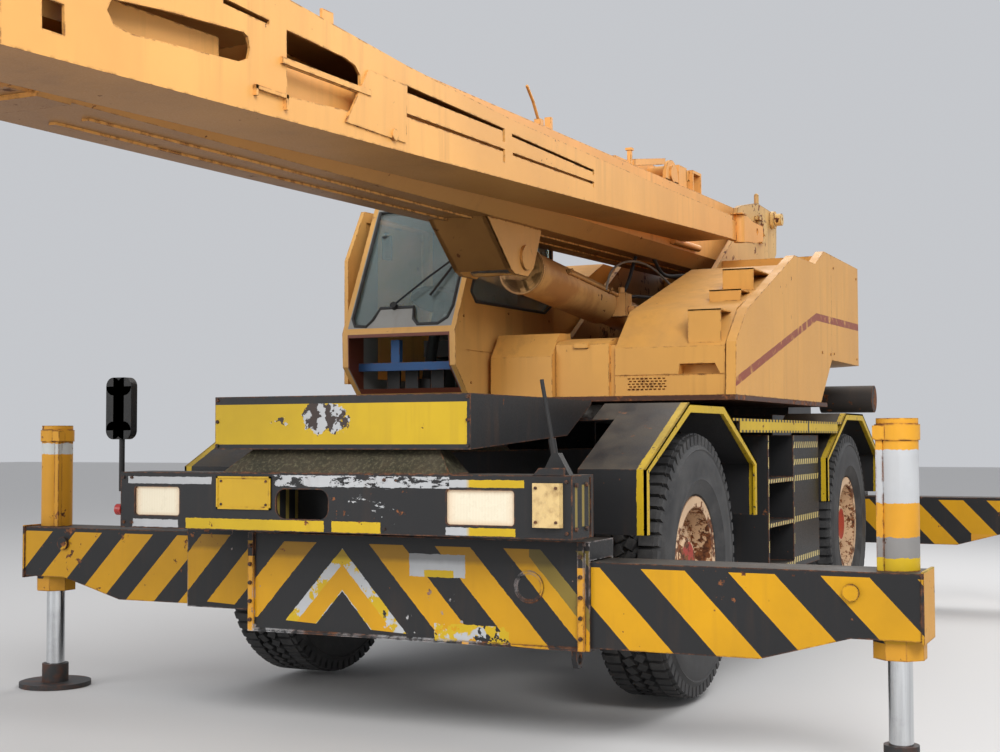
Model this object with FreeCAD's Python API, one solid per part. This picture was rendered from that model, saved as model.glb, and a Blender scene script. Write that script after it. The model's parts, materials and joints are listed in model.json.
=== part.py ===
"""Two-axle rough-terrain crane standing on its outriggers, with its boom stowed over the front.

Units are millimetres. X points forward, Y to the crane's left, Z up. The sub-parts are modelled
about the middle of the wheelbase on the floor. When they are saved they move along X, so that the
origin lies on the floor under the middle of the whole crane.
"""
import math
import os

import FreeCAD
import Part

# Running gear
WHEELBASE = 3880.0
WHEEL_LIFT = 25.0
TYRE_D = 1380.0
TYRE_W = 385.0
TYRE_OUTER_Y = 1275.0
TREAD_W = 300.0
BEAD_R = 318.0
BEAD_HALF_W = 139.0
SIDEWALL_R = 505.0
SHOULDER_R = 655.0
RIM_FLANGE_R = 360.0
RIM_FLANGE_W = 15.0
RIM_WALL = 17.0
RIM_DISC_Y = 45.0
RIM_DISC_W = 18.0
HUB_R = 206.0
HUB_CAP_R = 142.0
HUB_CAP_Y = 112.0
KINGPIN_Y = 870.0
KINGPIN_R = 42.0
KNUCKLE_HALF_H = 150.0
SPINDLE_R = 75.0
AXLE_R = 95.0
DIFF_R = 190.0
PIN_GAP = 0.3
STEER_GAP = 6.0

# Chassis
RAIL_IN_Y = 310.0
RAIL_OUT_Y = 430.0
RAIL_BOTTOM = 825.0
RAIL_TOP = 1320.0
SLEW_X = -300.0
SLEW_RING_R = 600.0
SLEW_RING_BORE_R = 450.0
PEDESTAL_TOP = 1480.0
TURRET_Z = 1600.0
DECK_TOP = 1490.0
DECK_T = 15.0
DECK_HALF_W = 850.0
DECK_FRONT_X = WHEELBASE / 2 + 90.0
DECK_REAR_X = -WHEELBASE / 2 - 110.0

# Outriggers
BEAM_W = 262.0
BEAM_H = 378.0
BEAM_WALL = 14.0
BEAM_BOTTOM = 457.0
BEAM_RISE = 60.0
BEAM_GAP = 6.0
SEAT_GAP = 0.3
BOX_WALL = 12.0
BEAM_CLEAR = 149.0
BEAM_X = WHEELBASE / 2 + TYRE_D / 2 + BEAM_CLEAR + BEAM_W / 2
BEAM_PITCH = BEAM_W + 2 * BEAM_GAP + BOX_WALL
FRAME_FRONT_X = BEAM_X + BEAM_PITCH + BEAM_W / 2 + BEAM_GAP
BUMPER_HALF_W = 1205.0
BOX_MOUTH_IN = 15.0
BOX_MOUTH_Y = BUMPER_HALF_W - BOX_MOUTH_IN
BOX_BACK_Y = 600.0
BOX_TOP = 925.0
BEAM_REACH = 2496.0
BEAM_REACH_FR = 2210.0
BEAM_HOME = 1403.0
BEAM_TAIL = 1910.0
BEAM_NOSE = 165.0
BEAM_TAPER_START = 555.0
BEAM_TAPER_RISE = 105.0
JACK_TUBE_R = 85.0
JACK_TUBE_TOP = 1460.0
JACK_ROD_R = 50.0
COLLAR_R = 110.0
COLLAR_DROP = 85.0
FLOAT_R = 195.0
FLOAT_T = 26.0
SOCKET_R = 72.0
SOCKET_H = 100.0
TOW_X = FRAME_FRONT_X - 33.0
TOW_Y = 1100.0
TOW_Z = 402.0
TOW_T = 25.0
TOW_R = 22.0

# Fenders
FENDER_OUT_Y = 1310.0
FENDER_T = 12.0
FENDER_TOP = 1560.0
FENDER_TOP_HALF = 310.0
FENDER_KNEE = 990.0
FENDER_KNEE_Z = 1235.0
FENDER_LEG_Z = 930.0
SIDE_SPACE = WHEELBASE / 2 - FENDER_KNEE

# Front end
BUMPER_FRONT_X = FRAME_FRONT_X + 247.0
BUMPER_DEPTH = 200.0
BUMPER_BOTTOM = 948.0
BUMPER_TOP = 1222.0
BUMPER_T = 12.0
DECKBOX_FRONT_X = FRAME_FRONT_X + 177.0
DECKBOX_REAR_X = DECK_FRONT_X
DECKBOX_HALF_W = 690.0
DECKBOX_TOP = 1585.0
DECKBOX_BOTTOM = 1332.0
DECKBOX_BOTTOM_REAR = 1410.0
DECKBOX_T = 8.0

# Rear end
ENGINE_FRONT_X = DECK_REAR_X - 70.0
ENGINE_REAR_X = -FRAME_FRONT_X + 213.0
ENGINE_TOP = 1480.0
HOOD_HALF_W = 640.0
HOOD_T = 12.0
HOOD_STEP_X = -2570.0
HOOD_LOW_TOP = 1560.0
HOOD_HIGH_TOP = 1850.0
HOOD_REAR_X = -FRAME_FRONT_X - 67.0
MUFFLER_X = -2700.0
MUFFLER_R = 110.0

# Superstructure
TURRET_FRONT_X = 1350.0
TURRET_HALF_W = 1250.0
TURRET_REAR_X = -1250.0
BASE_T = 30.0
CHEEK_Y = 380.0
CHEEK_T = 40.0
COUNTERWEIGHT_FRONT_X = -1430.0
COUNTERWEIGHT_SIDE_X = -2430.0
COUNTERWEIGHT_REAR_X = -2850.0
COUNTERWEIGHT_BOTTOM = 1950.0
COUNTERWEIGHT_TOP = 2730.0
COVER_T = 60.0
STEP_BOX_Y = 560.0
STEP_BOX_TOP = 1915.0

WINCH_X = -1880.0
WINCH_Z = 2280.0

# Boom
PIVOT_X = -2550.0
PIVOT_Z = 3120.0
PIVOT_R = 60.0
BOOM_DROP_DEG = 2.35
BOOM_HALF_W = 280.0
BOOM_LOW = -300.0
BOOM_HIGH = 320.0
BOOM_FOOT = -230.0
BOOM_END = 8300.0
BOOM_WALL = 10.0
HEAD_PIN_U = 9330.0
HEAD_PIN_W = -540.0
HEAD_PIN_R = 40.0
HEAD_PLATE_T = 25.0
JIB_PIN_R = 25.0
JIB_PIN_DU = 60.0
JIB_PIN_W = -250.0
SHEAVE_R = 190.0
GROOVE = 25.0
ROPE_R = 9.0
HOOK_DROP = 620.0
HOOK_BELOW = 450.0
HOOK_SIDE = 30.0
HOOK_BOWL_R = 95.0
HOOK_R = 38.0
LUFF_MAX_DEG = 80.0
TELE_STROKE = 6200.0

# Lift cylinder: foot pin on the turret, eye pin on the boom's bracket
FOOT_X = -1150.0
FOOT_Z = 2191.0
EYE_X = 1740.0
EYE_Z = 2415.0
BARREL_R = 112.0
BARREL_BORE_R = 95.0
SLEEVE_R = 135.0
SLEEVE_LENGTH = 1280.0
BARREL_START = 120.0
BARREL_SHORT_OF_EYE = 340.0
GLAND_LENGTH = 60.0
PISTON_LENGTH = 60.0
PISTON_CLEAR = 5.0
ROD_R = 62.0
LUG_Y = 150.0
LUG_T = 25.0
FOOT_LUG_Y = 150.0

# Cab
CAB_LEFT_Y = -340.0
CAB_RIGHT_Y = -1120.0
CAB_T = 40.0
CAB_REAR_X = 100.0
DOOR_HINGE_X = 430.0
DOOR_AJAR_DEG = 8.0
DOOR_FRONT_X = 1330.0
DOOR_BOTTOM = 1730.0
DOOR_TOP = 2860.0
DOOR_T = 30.0
HINGE_PIN_R = 8.0
HINGE_LEAF = 14.0
HINGE_Z = (1900.0, 2650.0)

AXLE_Z = WHEEL_LIFT + TYRE_D / 2
WHEEL_Y = TYRE_OUTER_Y - TYRE_W / 2
X_AXIS = FreeCAD.Vector(1, 0, 0)
Y_AXIS = FreeCAD.Vector(0, 1, 0)
Z_AXIS = FreeCAD.Vector(0, 0, 1)
ORIGIN = FreeCAD.Vector(0, 0, 0)
# The four corners: name, sign of X, sign of Y
CORNERS = (("fl", 1, 1), ("fr", 1, -1), ("rl", -1, 1), ("rr", -1, -1))


def vec(x, y, z):
    return FreeCAD.Vector(x, y, z)


def box(x0, x1, y0, y1, z0, z1):
    """Box between two corners given as ranges."""
    return Part.makeBox(x1 - x0, y1 - y0, z1 - z0, vec(x0, y0, z0))


def cyl(x, y, z, axis, radius, length):
    """Cylinder from a centre point along an axis."""
    return Part.makeCylinder(radius, length, vec(x, y, z), axis)


def prism_y(points, y0, y1):
    """Outline of (x, z) points extruded from y0 to y1."""
    wire = Part.makePolygon([vec(x, y0, z) for x, z in points + [points[0]]])
    return Part.Face(wire).extrude(vec(0, y1 - y0, 0))


def prism_x(points, x0, x1):
    """Outline of (y, z) points extruded from x0 to x1."""
    wire = Part.makePolygon([vec(x0, y, z) for y, z in points + [points[0]]])
    return Part.Face(wire).extrude(vec(x1 - x0, 0, 0))


def prism_z(points, z0, z1):
    """Outline of (x, y) points extruded from z0 to z1."""
    wire = Part.makePolygon([vec(x, y, z0) for x, y in points + [points[0]]])
    return Part.Face(wire).extrude(vec(0, 0, z1 - z0))


def revolve_y(points, x, z):
    """Outline of (radius, y) points turned about the line through (x, z) along Y."""
    wire = Part.makePolygon([vec(x + r, y, z) for r, y in points + [points[0]]])
    return Part.Face(wire).revolve(vec(x, 0, z), Y_AXIS, 360)


def fuse(shapes):
    """Union of shapes with merged faces."""
    shapes = list(shapes)
    return shapes[0].fuse(shapes[1:]).removeSplitter() if len(shapes) > 1 else shapes[0]


def group(shapes):
    """Shapes that stay apart, kept together in one file."""
    return Part.makeCompound(list(shapes))


def mirror_y(shape):
    return shape.mirror(ORIGIN, Y_AXIS)


def mirror_x(shape):
    return shape.mirror(ORIGIN, X_AXIS)


def both_sides(shape):
    """The shape and its mirror image across the centre plane."""
    return [shape, mirror_y(shape)]


def tyre(x, side):
    """Tyre as one ring: beads, bulging sidewalls, shoulders and tread."""
    half = TYRE_W / 2
    outer = TYRE_D / 2
    bead_r = BEAD_R + PIN_GAP
    profile = [
        (bead_r, -BEAD_HALF_W), (RIM_FLANGE_R + 12, -BEAD_HALF_W), (SIDEWALL_R, -half),
        (SHOULDER_R, -half + 8), (outer, -TREAD_W / 2), (outer, TREAD_W / 2), (SHOULDER_R, half - 8),
        (SIDEWALL_R, half), (RIM_FLANGE_R + 12, BEAD_HALF_W), (bead_r, BEAD_HALF_W)]
    return revolve_y([(r, side * WHEEL_Y + y) for r, y in profile], x, AXLE_Z)


def rim(x, side):
    """Rim barrel with two flanges, dished disc, hub face and planet cap."""
    flange = BEAD_HALF_W + SEAT_GAP
    lip = flange + RIM_FLANGE_W
    inner = BEAD_R - RIM_WALL
    barrel = revolve_y(
        [(inner, side * WHEEL_Y - lip), (RIM_FLANGE_R, side * WHEEL_Y - lip),
         (RIM_FLANGE_R, side * WHEEL_Y - flange), (BEAD_R, side * WHEEL_Y - flange),
         (BEAD_R, side * WHEEL_Y + flange), (RIM_FLANGE_R, side * WHEEL_Y + flange),
         (RIM_FLANGE_R, side * WHEEL_Y + lip), (inner, side * WHEEL_Y + lip)], x, AXLE_Z)
    face = [(0, RIM_DISC_Y - 30), (HUB_R + 20, RIM_DISC_Y - 30), (inner + 1, RIM_DISC_Y - RIM_DISC_W),
            (inner + 1, RIM_DISC_Y), (HUB_R + 30, RIM_DISC_Y), (HUB_R, RIM_DISC_Y + 25),
            (HUB_CAP_R + 12, RIM_DISC_Y + 25), (HUB_CAP_R, HUB_CAP_Y - 12), (HUB_CAP_R - 15, HUB_CAP_Y),
            (0, HUB_CAP_Y)]
    disc = revolve_y([(r, side * (WHEEL_Y + y)) for r, y in face], x, AXLE_Z)
    return fuse([barrel, disc])


def knuckle(x, side):
    """Steering knuckle: kingpin post between the axle's ears, and the spindle to the hub."""
    post = cyl(x, side * KINGPIN_Y, AXLE_Z - KNUCKLE_HALF_H, Z_AXIS, KINGPIN_R + 14, 2 * KNUCKLE_HALF_H)
    spindle_end = WHEEL_Y + RIM_DISC_Y - 30 - SEAT_GAP
    spindle = cyl(x, side * KINGPIN_Y, AXLE_Z, vec(0, side, 0), SPINDLE_R, spindle_end - KINGPIN_Y)
    pins = [cyl(x, side * KINGPIN_Y, z, Z_AXIS, KINGPIN_R, 45)
            for z in (AXLE_Z - KNUCKLE_HALF_H - 45, AXLE_Z + KNUCKLE_HALF_H)]
    return fuse([post, spindle] + pins)


def axle(x):
    """Axle housing with differential bulge, pads under the rails and forked ends."""
    ear_y = KINGPIN_Y - KINGPIN_R - 60
    housing = cyl(x, -ear_y + 20, AXLE_Z, Y_AXIS, AXLE_R, 2 * ear_y - 40)
    bulge = revolve_y([(0, -DIFF_R - 40), (AXLE_R, -DIFF_R - 40), (DIFF_R, -110), (DIFF_R, 110),
                       (AXLE_R, DIFF_R + 40), (0, DIFF_R + 40)], x, AXLE_Z)
    pieces = [housing, bulge]
    for side in (1, -1):
        pad = box(x - 130, x + 130, RAIL_IN_Y, RAIL_OUT_Y, AXLE_Z - 20, RAIL_BOTTOM)
        back = box(x - 80, x + 80, ear_y - 60, ear_y, AXLE_Z - KNUCKLE_HALF_H - 45, AXLE_Z + KNUCKLE_HALF_H + 45)
        ears = [box(x - 55, x + 55, ear_y - 60, KINGPIN_Y + 50, z, z + 42 - STEER_GAP / 2)
                for z in (AXLE_Z - KNUCKLE_HALF_H - 45, AXLE_Z + KNUCKLE_HALF_H + STEER_GAP / 2)]
        for piece in [pad, back] + ears:
            pieces.append(piece if side > 0 else mirror_y(piece))
    body = fuse(pieces)
    for side in (1, -1):
        bore = cyl(x, side * KINGPIN_Y, AXLE_Z - 400, Z_AXIS, KINGPIN_R + PIN_GAP, 800)
        body = body.cut(bore)
    return body


def chassis_frame():
    """Two box rails stepped over the outrigger boxes, cross members and the slewing pedestal."""
    step_x = BEAM_X - BEAM_W / 2 - BEAM_GAP - BOX_WALL
    outline = [(-FRAME_FRONT_X, BOX_TOP), (-step_x, BOX_TOP), (-step_x, RAIL_BOTTOM), (step_x, RAIL_BOTTOM),
               (step_x, BOX_TOP), (FRAME_FRONT_X, BOX_TOP), (FRAME_FRONT_X, RAIL_TOP),
               (-FRAME_FRONT_X, RAIL_TOP)]
    pieces = both_sides(prism_y(outline, RAIL_IN_Y, RAIL_OUT_Y))
    # Cross members: middle X, length along X, bottom, top
    for x, length, low, high in ((BEAM_X - 310, 120, 950, RAIL_TOP), (1150, 160, RAIL_BOTTOM, RAIL_TOP),
                                 (SLEW_X + 400, 160, RAIL_BOTTOM, RAIL_TOP),
                                 (SLEW_X - 550, 160, RAIL_BOTTOM, RAIL_TOP),
                                 (-WHEELBASE / 2 - 10, 120, 950, RAIL_TOP)):
        pieces.append(box(x - length / 2, x + length / 2, -RAIL_IN_Y, RAIL_IN_Y, low, high))
    pieces.append(box(SLEW_X - 800, SLEW_X + 800, -RAIL_OUT_Y - 170, RAIL_OUT_Y + 170, RAIL_TOP, RAIL_TOP + 20))
    pedestal = cyl(SLEW_X, 0, RAIL_TOP + 20, Z_AXIS, SLEW_RING_R + 20, PEDESTAL_TOP - RAIL_TOP - 20)
    pieces.append(pedestal)
    frame = fuse(pieces)
    return frame.cut(cyl(SLEW_X, 0, RAIL_TOP - 50, Z_AXIS, SLEW_RING_BORE_R - 150, 400))


def slew_ring():
    """Toothed bearing ring on the pedestal, just clear of the turret's base plate."""
    ring = cyl(SLEW_X, 0, PEDESTAL_TOP, Z_AXIS, SLEW_RING_R, TURRET_Z - SEAT_GAP - PEDESTAL_TOP)
    return ring.cut(cyl(SLEW_X, 0, PEDESTAL_TOP - 10, Z_AXIS, SLEW_RING_BORE_R, 300))


def deck_plates():
    """Flat deck over the frame and between the fenders, with the edge bars of its two sides."""
    outer_x = WHEELBASE / 2 - fender_half_at(DECK_TOP - DECK_T)
    plates = [box(DECK_REAR_X, DECK_FRONT_X, -DECK_HALF_W, DECK_HALF_W, DECK_TOP - DECK_T, DECK_TOP),
              box(-outer_x, outer_x, -FENDER_OUT_Y, FENDER_OUT_Y, DECK_TOP - DECK_T, DECK_TOP)]
    bar_x = outer_x - 140
    bar = box(-bar_x, bar_x, FENDER_OUT_Y - 20, FENDER_OUT_Y, DECK_TOP - 80, DECK_TOP - DECK_T)
    plates += both_sides(bar)
    for x in (-1300, 1300, DECK_FRONT_X - 30):
        plates.append(box(x - 10, x + 10, -RAIL_OUT_Y, RAIL_OUT_Y, RAIL_TOP, DECK_TOP - DECK_T))
    deck = fuse(plates)
    return deck.cut(cyl(SLEW_X, 0, RAIL_TOP, Z_AXIS, SLEW_RING_R + 40, 400))


def fender_half_at(z):
    """Half width of the fender's arch at a height on its slanted part."""
    slope = (FENDER_KNEE - FENDER_TOP_HALF) / (FENDER_TOP - FENDER_KNEE_Z)
    return FENDER_TOP_HALF + (FENDER_TOP - z) * slope


def fender(x):
    """Angular fender of bent plate, with a valance down to the deck on its inner side."""
    outer = [(-FENDER_KNEE, FENDER_LEG_Z), (-FENDER_KNEE, FENDER_KNEE_Z), (-FENDER_TOP_HALF, FENDER_TOP),
             (FENDER_TOP_HALF, FENDER_TOP), (FENDER_KNEE, FENDER_KNEE_Z), (FENDER_KNEE, FENDER_LEG_Z)]
    shift = FENDER_T * 0.62
    inner = [(FENDER_KNEE - FENDER_T, FENDER_LEG_Z), (FENDER_KNEE - FENDER_T, FENDER_KNEE_Z - shift),
             (FENDER_TOP_HALF - 3, FENDER_TOP - FENDER_T), (-FENDER_TOP_HALF + 3, FENDER_TOP - FENDER_T),
             (-FENDER_KNEE + FENDER_T, FENDER_KNEE_Z - shift), (-FENDER_KNEE + FENDER_T, FENDER_LEG_Z)]
    plate = prism_y([(x + dx, z) for dx, z in outer + inner], DECK_HALF_W + 120, FENDER_OUT_Y)
    low = DECK_TOP - DECK_T
    half = fender_half_at(low)
    top = prism_y([(x - FENDER_TOP_HALF, FENDER_TOP), (x - half, low), (x - half + 30, low),
                   (x - FENDER_TOP_HALF + 3, FENDER_TOP - FENDER_T),
                   (x + FENDER_TOP_HALF - 3, FENDER_TOP - FENDER_T), (x + half - 30, low),
                   (x + half, low), (x + FENDER_TOP_HALF, FENDER_TOP)], DECK_HALF_W, DECK_HALF_W + 120)
    valance = prism_y([(x - half + 30, low), (x - FENDER_TOP_HALF, FENDER_TOP - FENDER_T),
                       (x + FENDER_TOP_HALF, FENDER_TOP - FENDER_T), (x + half - 30, low)],
                      DECK_HALF_W, DECK_HALF_W + 12)
    return fuse([plate, top, valance])


def fenders():
    return group(piece for x in (WHEELBASE / 2, -WHEELBASE / 2) for piece in both_sides(fender(x)))


def channel(x, bottom, side):
    """One outrigger channel: a box tube open at its mouth and at its back end."""
    w = BEAM_W / 2 + BEAM_GAP
    low = bottom - SEAT_GAP
    high = bottom + BEAM_H + BEAM_GAP
    y0, y1 = sorted((-side * BOX_BACK_Y, side * BOX_MOUTH_Y))
    outer = box(x - w - BOX_WALL, x + w + BOX_WALL, y0, y1, low - BOX_WALL, BOX_TOP)
    inner = box(x - w, x + w, y0 - 10, y1 + 10, low, high)
    return outer, inner


def front_outrigger_box():
    """Two channels side by side under the frame, each open at its own end."""
    back, back_space = channel(BEAM_X, BEAM_BOTTOM + BEAM_RISE, -1)
    front, front_space = channel(BEAM_X + BEAM_PITCH, BEAM_BOTTOM, 1)
    bottom = BEAM_BOTTOM - SEAT_GAP - BOX_WALL
    tow = prism_y([(TOW_X - 38, bottom), (TOW_X - 38, TOW_Z), (TOW_X - 20, TOW_Z - 38), (TOW_X + 20, TOW_Z - 38),
                   (TOW_X + 38, TOW_Z), (TOW_X + 38, bottom)], TOW_Y, TOW_Y + TOW_T)
    tow = tow.cut(cyl(TOW_X, TOW_Y - 5, TOW_Z, Y_AXIS, TOW_R, TOW_T + 10))
    return fuse([back, front, tow]).cut(back_space).cut(front_space)


def rear_outrigger_box():
    return mirror_x(mirror_y(front_outrigger_box()))


def beam_place(name, sx, sy):
    """Centre X, bottom and reach of a beam. Left front and right rear run in the outer channel."""
    outer = sx * sy > 0
    x = BEAM_X + (BEAM_PITCH if outer else 0)
    bottom = BEAM_BOTTOM + (0 if outer else BEAM_RISE)
    reach = BEAM_REACH_FR if name == "fr" else BEAM_REACH
    return sx * x, bottom, reach


def outrigger_beam(name, sx, sy):
    """Hollow beam with a tapered nose, the jack tube through its end and a collar below."""
    x, bottom, reach = beam_place(name, sx, sy)
    half = BEAM_W / 2
    nose = reach + BEAM_NOSE
    taper = reach - BEAM_TAPER_START
    top = bottom + BEAM_H
    flat = reach - 175
    outline = [(reach - BEAM_TAIL, bottom), (taper, bottom), (flat, bottom + BEAM_TAPER_RISE),
               (nose, bottom + BEAM_TAPER_RISE), (nose, top), (reach - BEAM_TAIL, top)]
    wall = BEAM_WALL
    inner = [(reach - BEAM_TAIL - 10, bottom + wall), (taper - 4, bottom + wall),
             (flat - 4, bottom + BEAM_TAPER_RISE + wall), (reach - 130, bottom + BEAM_TAPER_RISE + wall),
             (reach - 130, top - wall), (reach - BEAM_TAIL - 10, top - wall)]
    beam = prism_x([(sy * y, z) for y, z in outline], x - half, x + half)
    beam = beam.cut(prism_x([(sy * y, z) for y, z in inner], x - half + wall, x + half - wall))
    tube_low = bottom + BEAM_TAPER_RISE - COLLAR_DROP
    tube = cyl(x, sy * reach, tube_low, Z_AXIS, JACK_TUBE_R, JACK_TUBE_TOP - tube_low)
    collar_points = []
    for i in range(8):
        a = math.pi / 8 + i * math.pi / 4
        collar_points.append((x + COLLAR_R * math.cos(a), sy * reach + COLLAR_R * math.sin(a)))
    collar = prism_z(collar_points, tube_low, bottom + BEAM_TAPER_RISE)
    body = fuse([beam, tube, collar])
    bore = cyl(x, sy * reach, tube_low - 10, Z_AXIS, JACK_ROD_R + 10, JACK_TUBE_TOP - 20 - tube_low + 10)
    body = body.cut(bore)
    gland = cyl(x, sy * reach, tube_low, Z_AXIS, JACK_ROD_R + 12, 40)
    gland = gland.cut(cyl(x, sy * reach, tube_low - 5, Z_AXIS, JACK_ROD_R + PIN_GAP, 60))
    return fuse([body, gland])


def jack_rod(name, sx, sy):
    """Chrome rod with its socket and round float on the floor."""
    x, bottom, reach = beam_place(name, sx, sy)
    y = sy * reach
    disc = cyl(x, y, 0, Z_AXIS, FLOAT_R, FLOAT_T)
    socket = cyl(x, y, FLOAT_T, Z_AXIS, SOCKET_R, SOCKET_H)
    rod = cyl(x, y, FLOAT_T + SOCKET_H, Z_AXIS, JACK_ROD_R, 1040 - FLOAT_T - SOCKET_H)
    return fuse([disc, socket, rod])


def bumper_openings():
    """Right lamp, left lamp and hole in the front plate: low Y, high Y, low Z, high Z."""
    half, low = BUMPER_HALF_W, BUMPER_BOTTOM
    return ((88 - half, 356 - half, low + 64, low + 202), (half - 602, half - 272, low + 54, low + 206),
            (-292, -7, low + 61, low + 199))


def front_bumper():
    """Deep bumper of bent plate with lamp recesses, a round-cornered hole and a top lip."""
    x0 = BUMPER_FRONT_X - BUMPER_DEPTH
    outer = box(x0, BUMPER_FRONT_X, -BUMPER_HALF_W, BUMPER_HALF_W, BUMPER_BOTTOM, BUMPER_TOP)
    inner = box(x0 - 5, BUMPER_FRONT_X - BUMPER_T, -BUMPER_HALF_W + BUMPER_T, BUMPER_HALF_W - BUMPER_T,
                BUMPER_BOTTOM + BUMPER_T, BUMPER_TOP - BUMPER_T)
    shell = outer.cut(inner)
    for y0, y1, z0, z1 in bumper_openings():
        hole = box(BUMPER_FRONT_X - 50, BUMPER_FRONT_X + 50, y0, y1, z0, z1)
        shell = shell.cut(hole)
    stays = [box(FRAME_FRONT_X + 12, BUMPER_FRONT_X - BUMPER_T, y, y + 90, BUMPER_BOTTOM + BUMPER_T,
                 BUMPER_TOP - BUMPER_T) for y in (RAIL_IN_Y, -RAIL_IN_Y - 90)]
    return fuse([shell] + stays)


def rear_bumper():
    """Plain rear bumper box on two stays."""
    x0 = -BUMPER_FRONT_X
    outer = box(x0, x0 + 150, -BUMPER_HALF_W, BUMPER_HALF_W, BUMPER_BOTTOM, BUMPER_TOP)
    inner = box(x0 + BUMPER_T, x0 + 160, -BUMPER_HALF_W + BUMPER_T, BUMPER_HALF_W - BUMPER_T,
                BUMPER_BOTTOM + BUMPER_T, BUMPER_TOP - BUMPER_T)
    stays = [box(x0 + BUMPER_T, -FRAME_FRONT_X, y, y + 90, BUMPER_BOTTOM + BUMPER_T, BUMPER_TOP - BUMPER_T)
             for y in (RAIL_IN_Y, -RAIL_IN_Y - 90)]
    return fuse([outer.cut(inner)] + stays)


def front_deck():
    """Front deck box under the boom, sloping hood below it and the platform over the bumper."""
    outline = [(DECKBOX_REAR_X, DECKBOX_BOTTOM_REAR), (DECKBOX_FRONT_X, DECKBOX_BOTTOM),
               (DECKBOX_FRONT_X, DECKBOX_TOP), (DECKBOX_REAR_X, DECKBOX_TOP)]
    deck_box = prism_y(outline, -DECKBOX_HALF_W, DECKBOX_HALF_W)
    hood_x = FRAME_FRONT_X + 12
    hood = prism_y([(2700, RAIL_TOP), (hood_x, RAIL_TOP), (hood_x, BUMPER_TOP), (3560, BUMPER_TOP), (3440, 1345), (2700, 1385)],
                   -600, 600)
    platform = box(FRAME_FRONT_X + 12, BUMPER_FRONT_X - BUMPER_DEPTH, -BUMPER_HALF_W, BUMPER_HALF_W,
                   BUMPER_TOP - 12, BUMPER_TOP)
    webs = [box(FRAME_FRONT_X, FRAME_FRONT_X + 12, -BUMPER_HALF_W, BUMPER_HALF_W, BUMPER_BOTTOM, BUMPER_TOP)]
    rests = [box(2650, FRAME_FRONT_X, y, y + 20, RAIL_TOP, 1350) for y in (RAIL_IN_Y, -RAIL_IN_Y - 20)]
    return fuse([deck_box, hood, platform] + webs + rests)


def carrier_lamps():
    """Head lamps in the recesses, corner markers and tail lamps."""
    back = BUMPER_FRONT_X - BUMPER_T
    pieces = [box(back - 40, back, y0 - 8, y1 + 8, z0 - 8, z1 + 8) for y0, y1, z0, z1 in bumper_openings()[:2]]
    end = BUMPER_HALF_W
    low = BUMPER_BOTTOM
    pieces.append(box(BUMPER_FRONT_X, BUMPER_FRONT_X + 30, end - 182, end - 43, low + 51, low + 241))
    pieces.append(cyl(BUMPER_FRONT_X - 20, -end, low + 87, vec(0, -1, 0), 28, 35))
    for side in (1, -1):
        y0, y1 = sorted((side * 850, side * 1150))
        pieces.append(box(-BUMPER_FRONT_X - 30, -BUMPER_FRONT_X, y0, y1, 1040, 1140))
    return group(pieces)


def front_mirror():
    """Mirror at the right end of the bumper and marker rod at its left end."""
    y = -BUMPER_HALF_W - 60
    x = BUMPER_FRONT_X - 80
    post = cyl(x, y, BUMPER_TOP - 100, Z_AXIS, 14, 260)
    foot = box(x - 20, x + 20, y, -BUMPER_HALF_W, BUMPER_TOP - 100, BUMPER_TOP - 60)
    glass = box(x - 20, x + 20, y - 90, y + 75, BUMPER_TOP + 160, BUMPER_TOP + 471)
    rod = cyl(BUMPER_FRONT_X - 130, BUMPER_HALF_W - 121, BUMPER_TOP + 10, vec(0, -0.18, 1), 12, 415)
    base = box(BUMPER_FRONT_X - 160, BUMPER_FRONT_X - 100, BUMPER_HALF_W - 145, BUMPER_HALF_W - 90,
               BUMPER_TOP, BUMPER_TOP + 90)
    return group([fuse([post, foot, glass]), fuse([rod, base])])


def side_boxes():
    """Left: steps and oil tank between the wheels. Right: fuel tank and locker."""
    def bracketed(x0, x1, y0, y1, z0, z1):
        tank = box(x0, x1, y0, y1, z0, z1)
        arms = [box(x, x + 40, RAIL_OUT_Y, y0, 1000, 1280) for x in (x0 + 60, x1 - 100)]
        return fuse([tank] + arms)
    front = SIDE_SPACE - 330
    rear = front - 660
    tank = bracketed(20 - SIDE_SPACE, rear - 70, 620, 1250, 520, 1395)
    cheeks = [box(x, x + 20, 760, 1290, 560, 1395) for x in (rear, front - 20)]
    treads = [box(rear + 20, front - 20, 760 + inset, 1290, z, z + 25)
              for z, inset in ((560, 240), (830, 160), (1100, 80))]
    back = box(rear, front, 740, 760, 560, 1395)
    arms = [box(x, x + 40, RAIL_OUT_Y, 740, 1000, 1280) for x in (rear + 40, front - 80)]
    steps = fuse(cheeks + treads + [back] + arms)
    fuel = mirror_y(bracketed(-300, SIDE_SPACE - 100, 600, 1250, 560, 1180))
    locker = mirror_y(bracketed(20 - SIDE_SPACE, -360, 600, 1250, 620, 1300))
    return group([tank, steps, fuel, locker])


def engine():
    """The engine and its gearbox as one plain block at its real place and size."""
    return box(ENGINE_REAR_X, ENGINE_FRONT_X, -RAIL_IN_Y, RAIL_IN_Y, BOX_TOP + 5, ENGINE_TOP)


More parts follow.
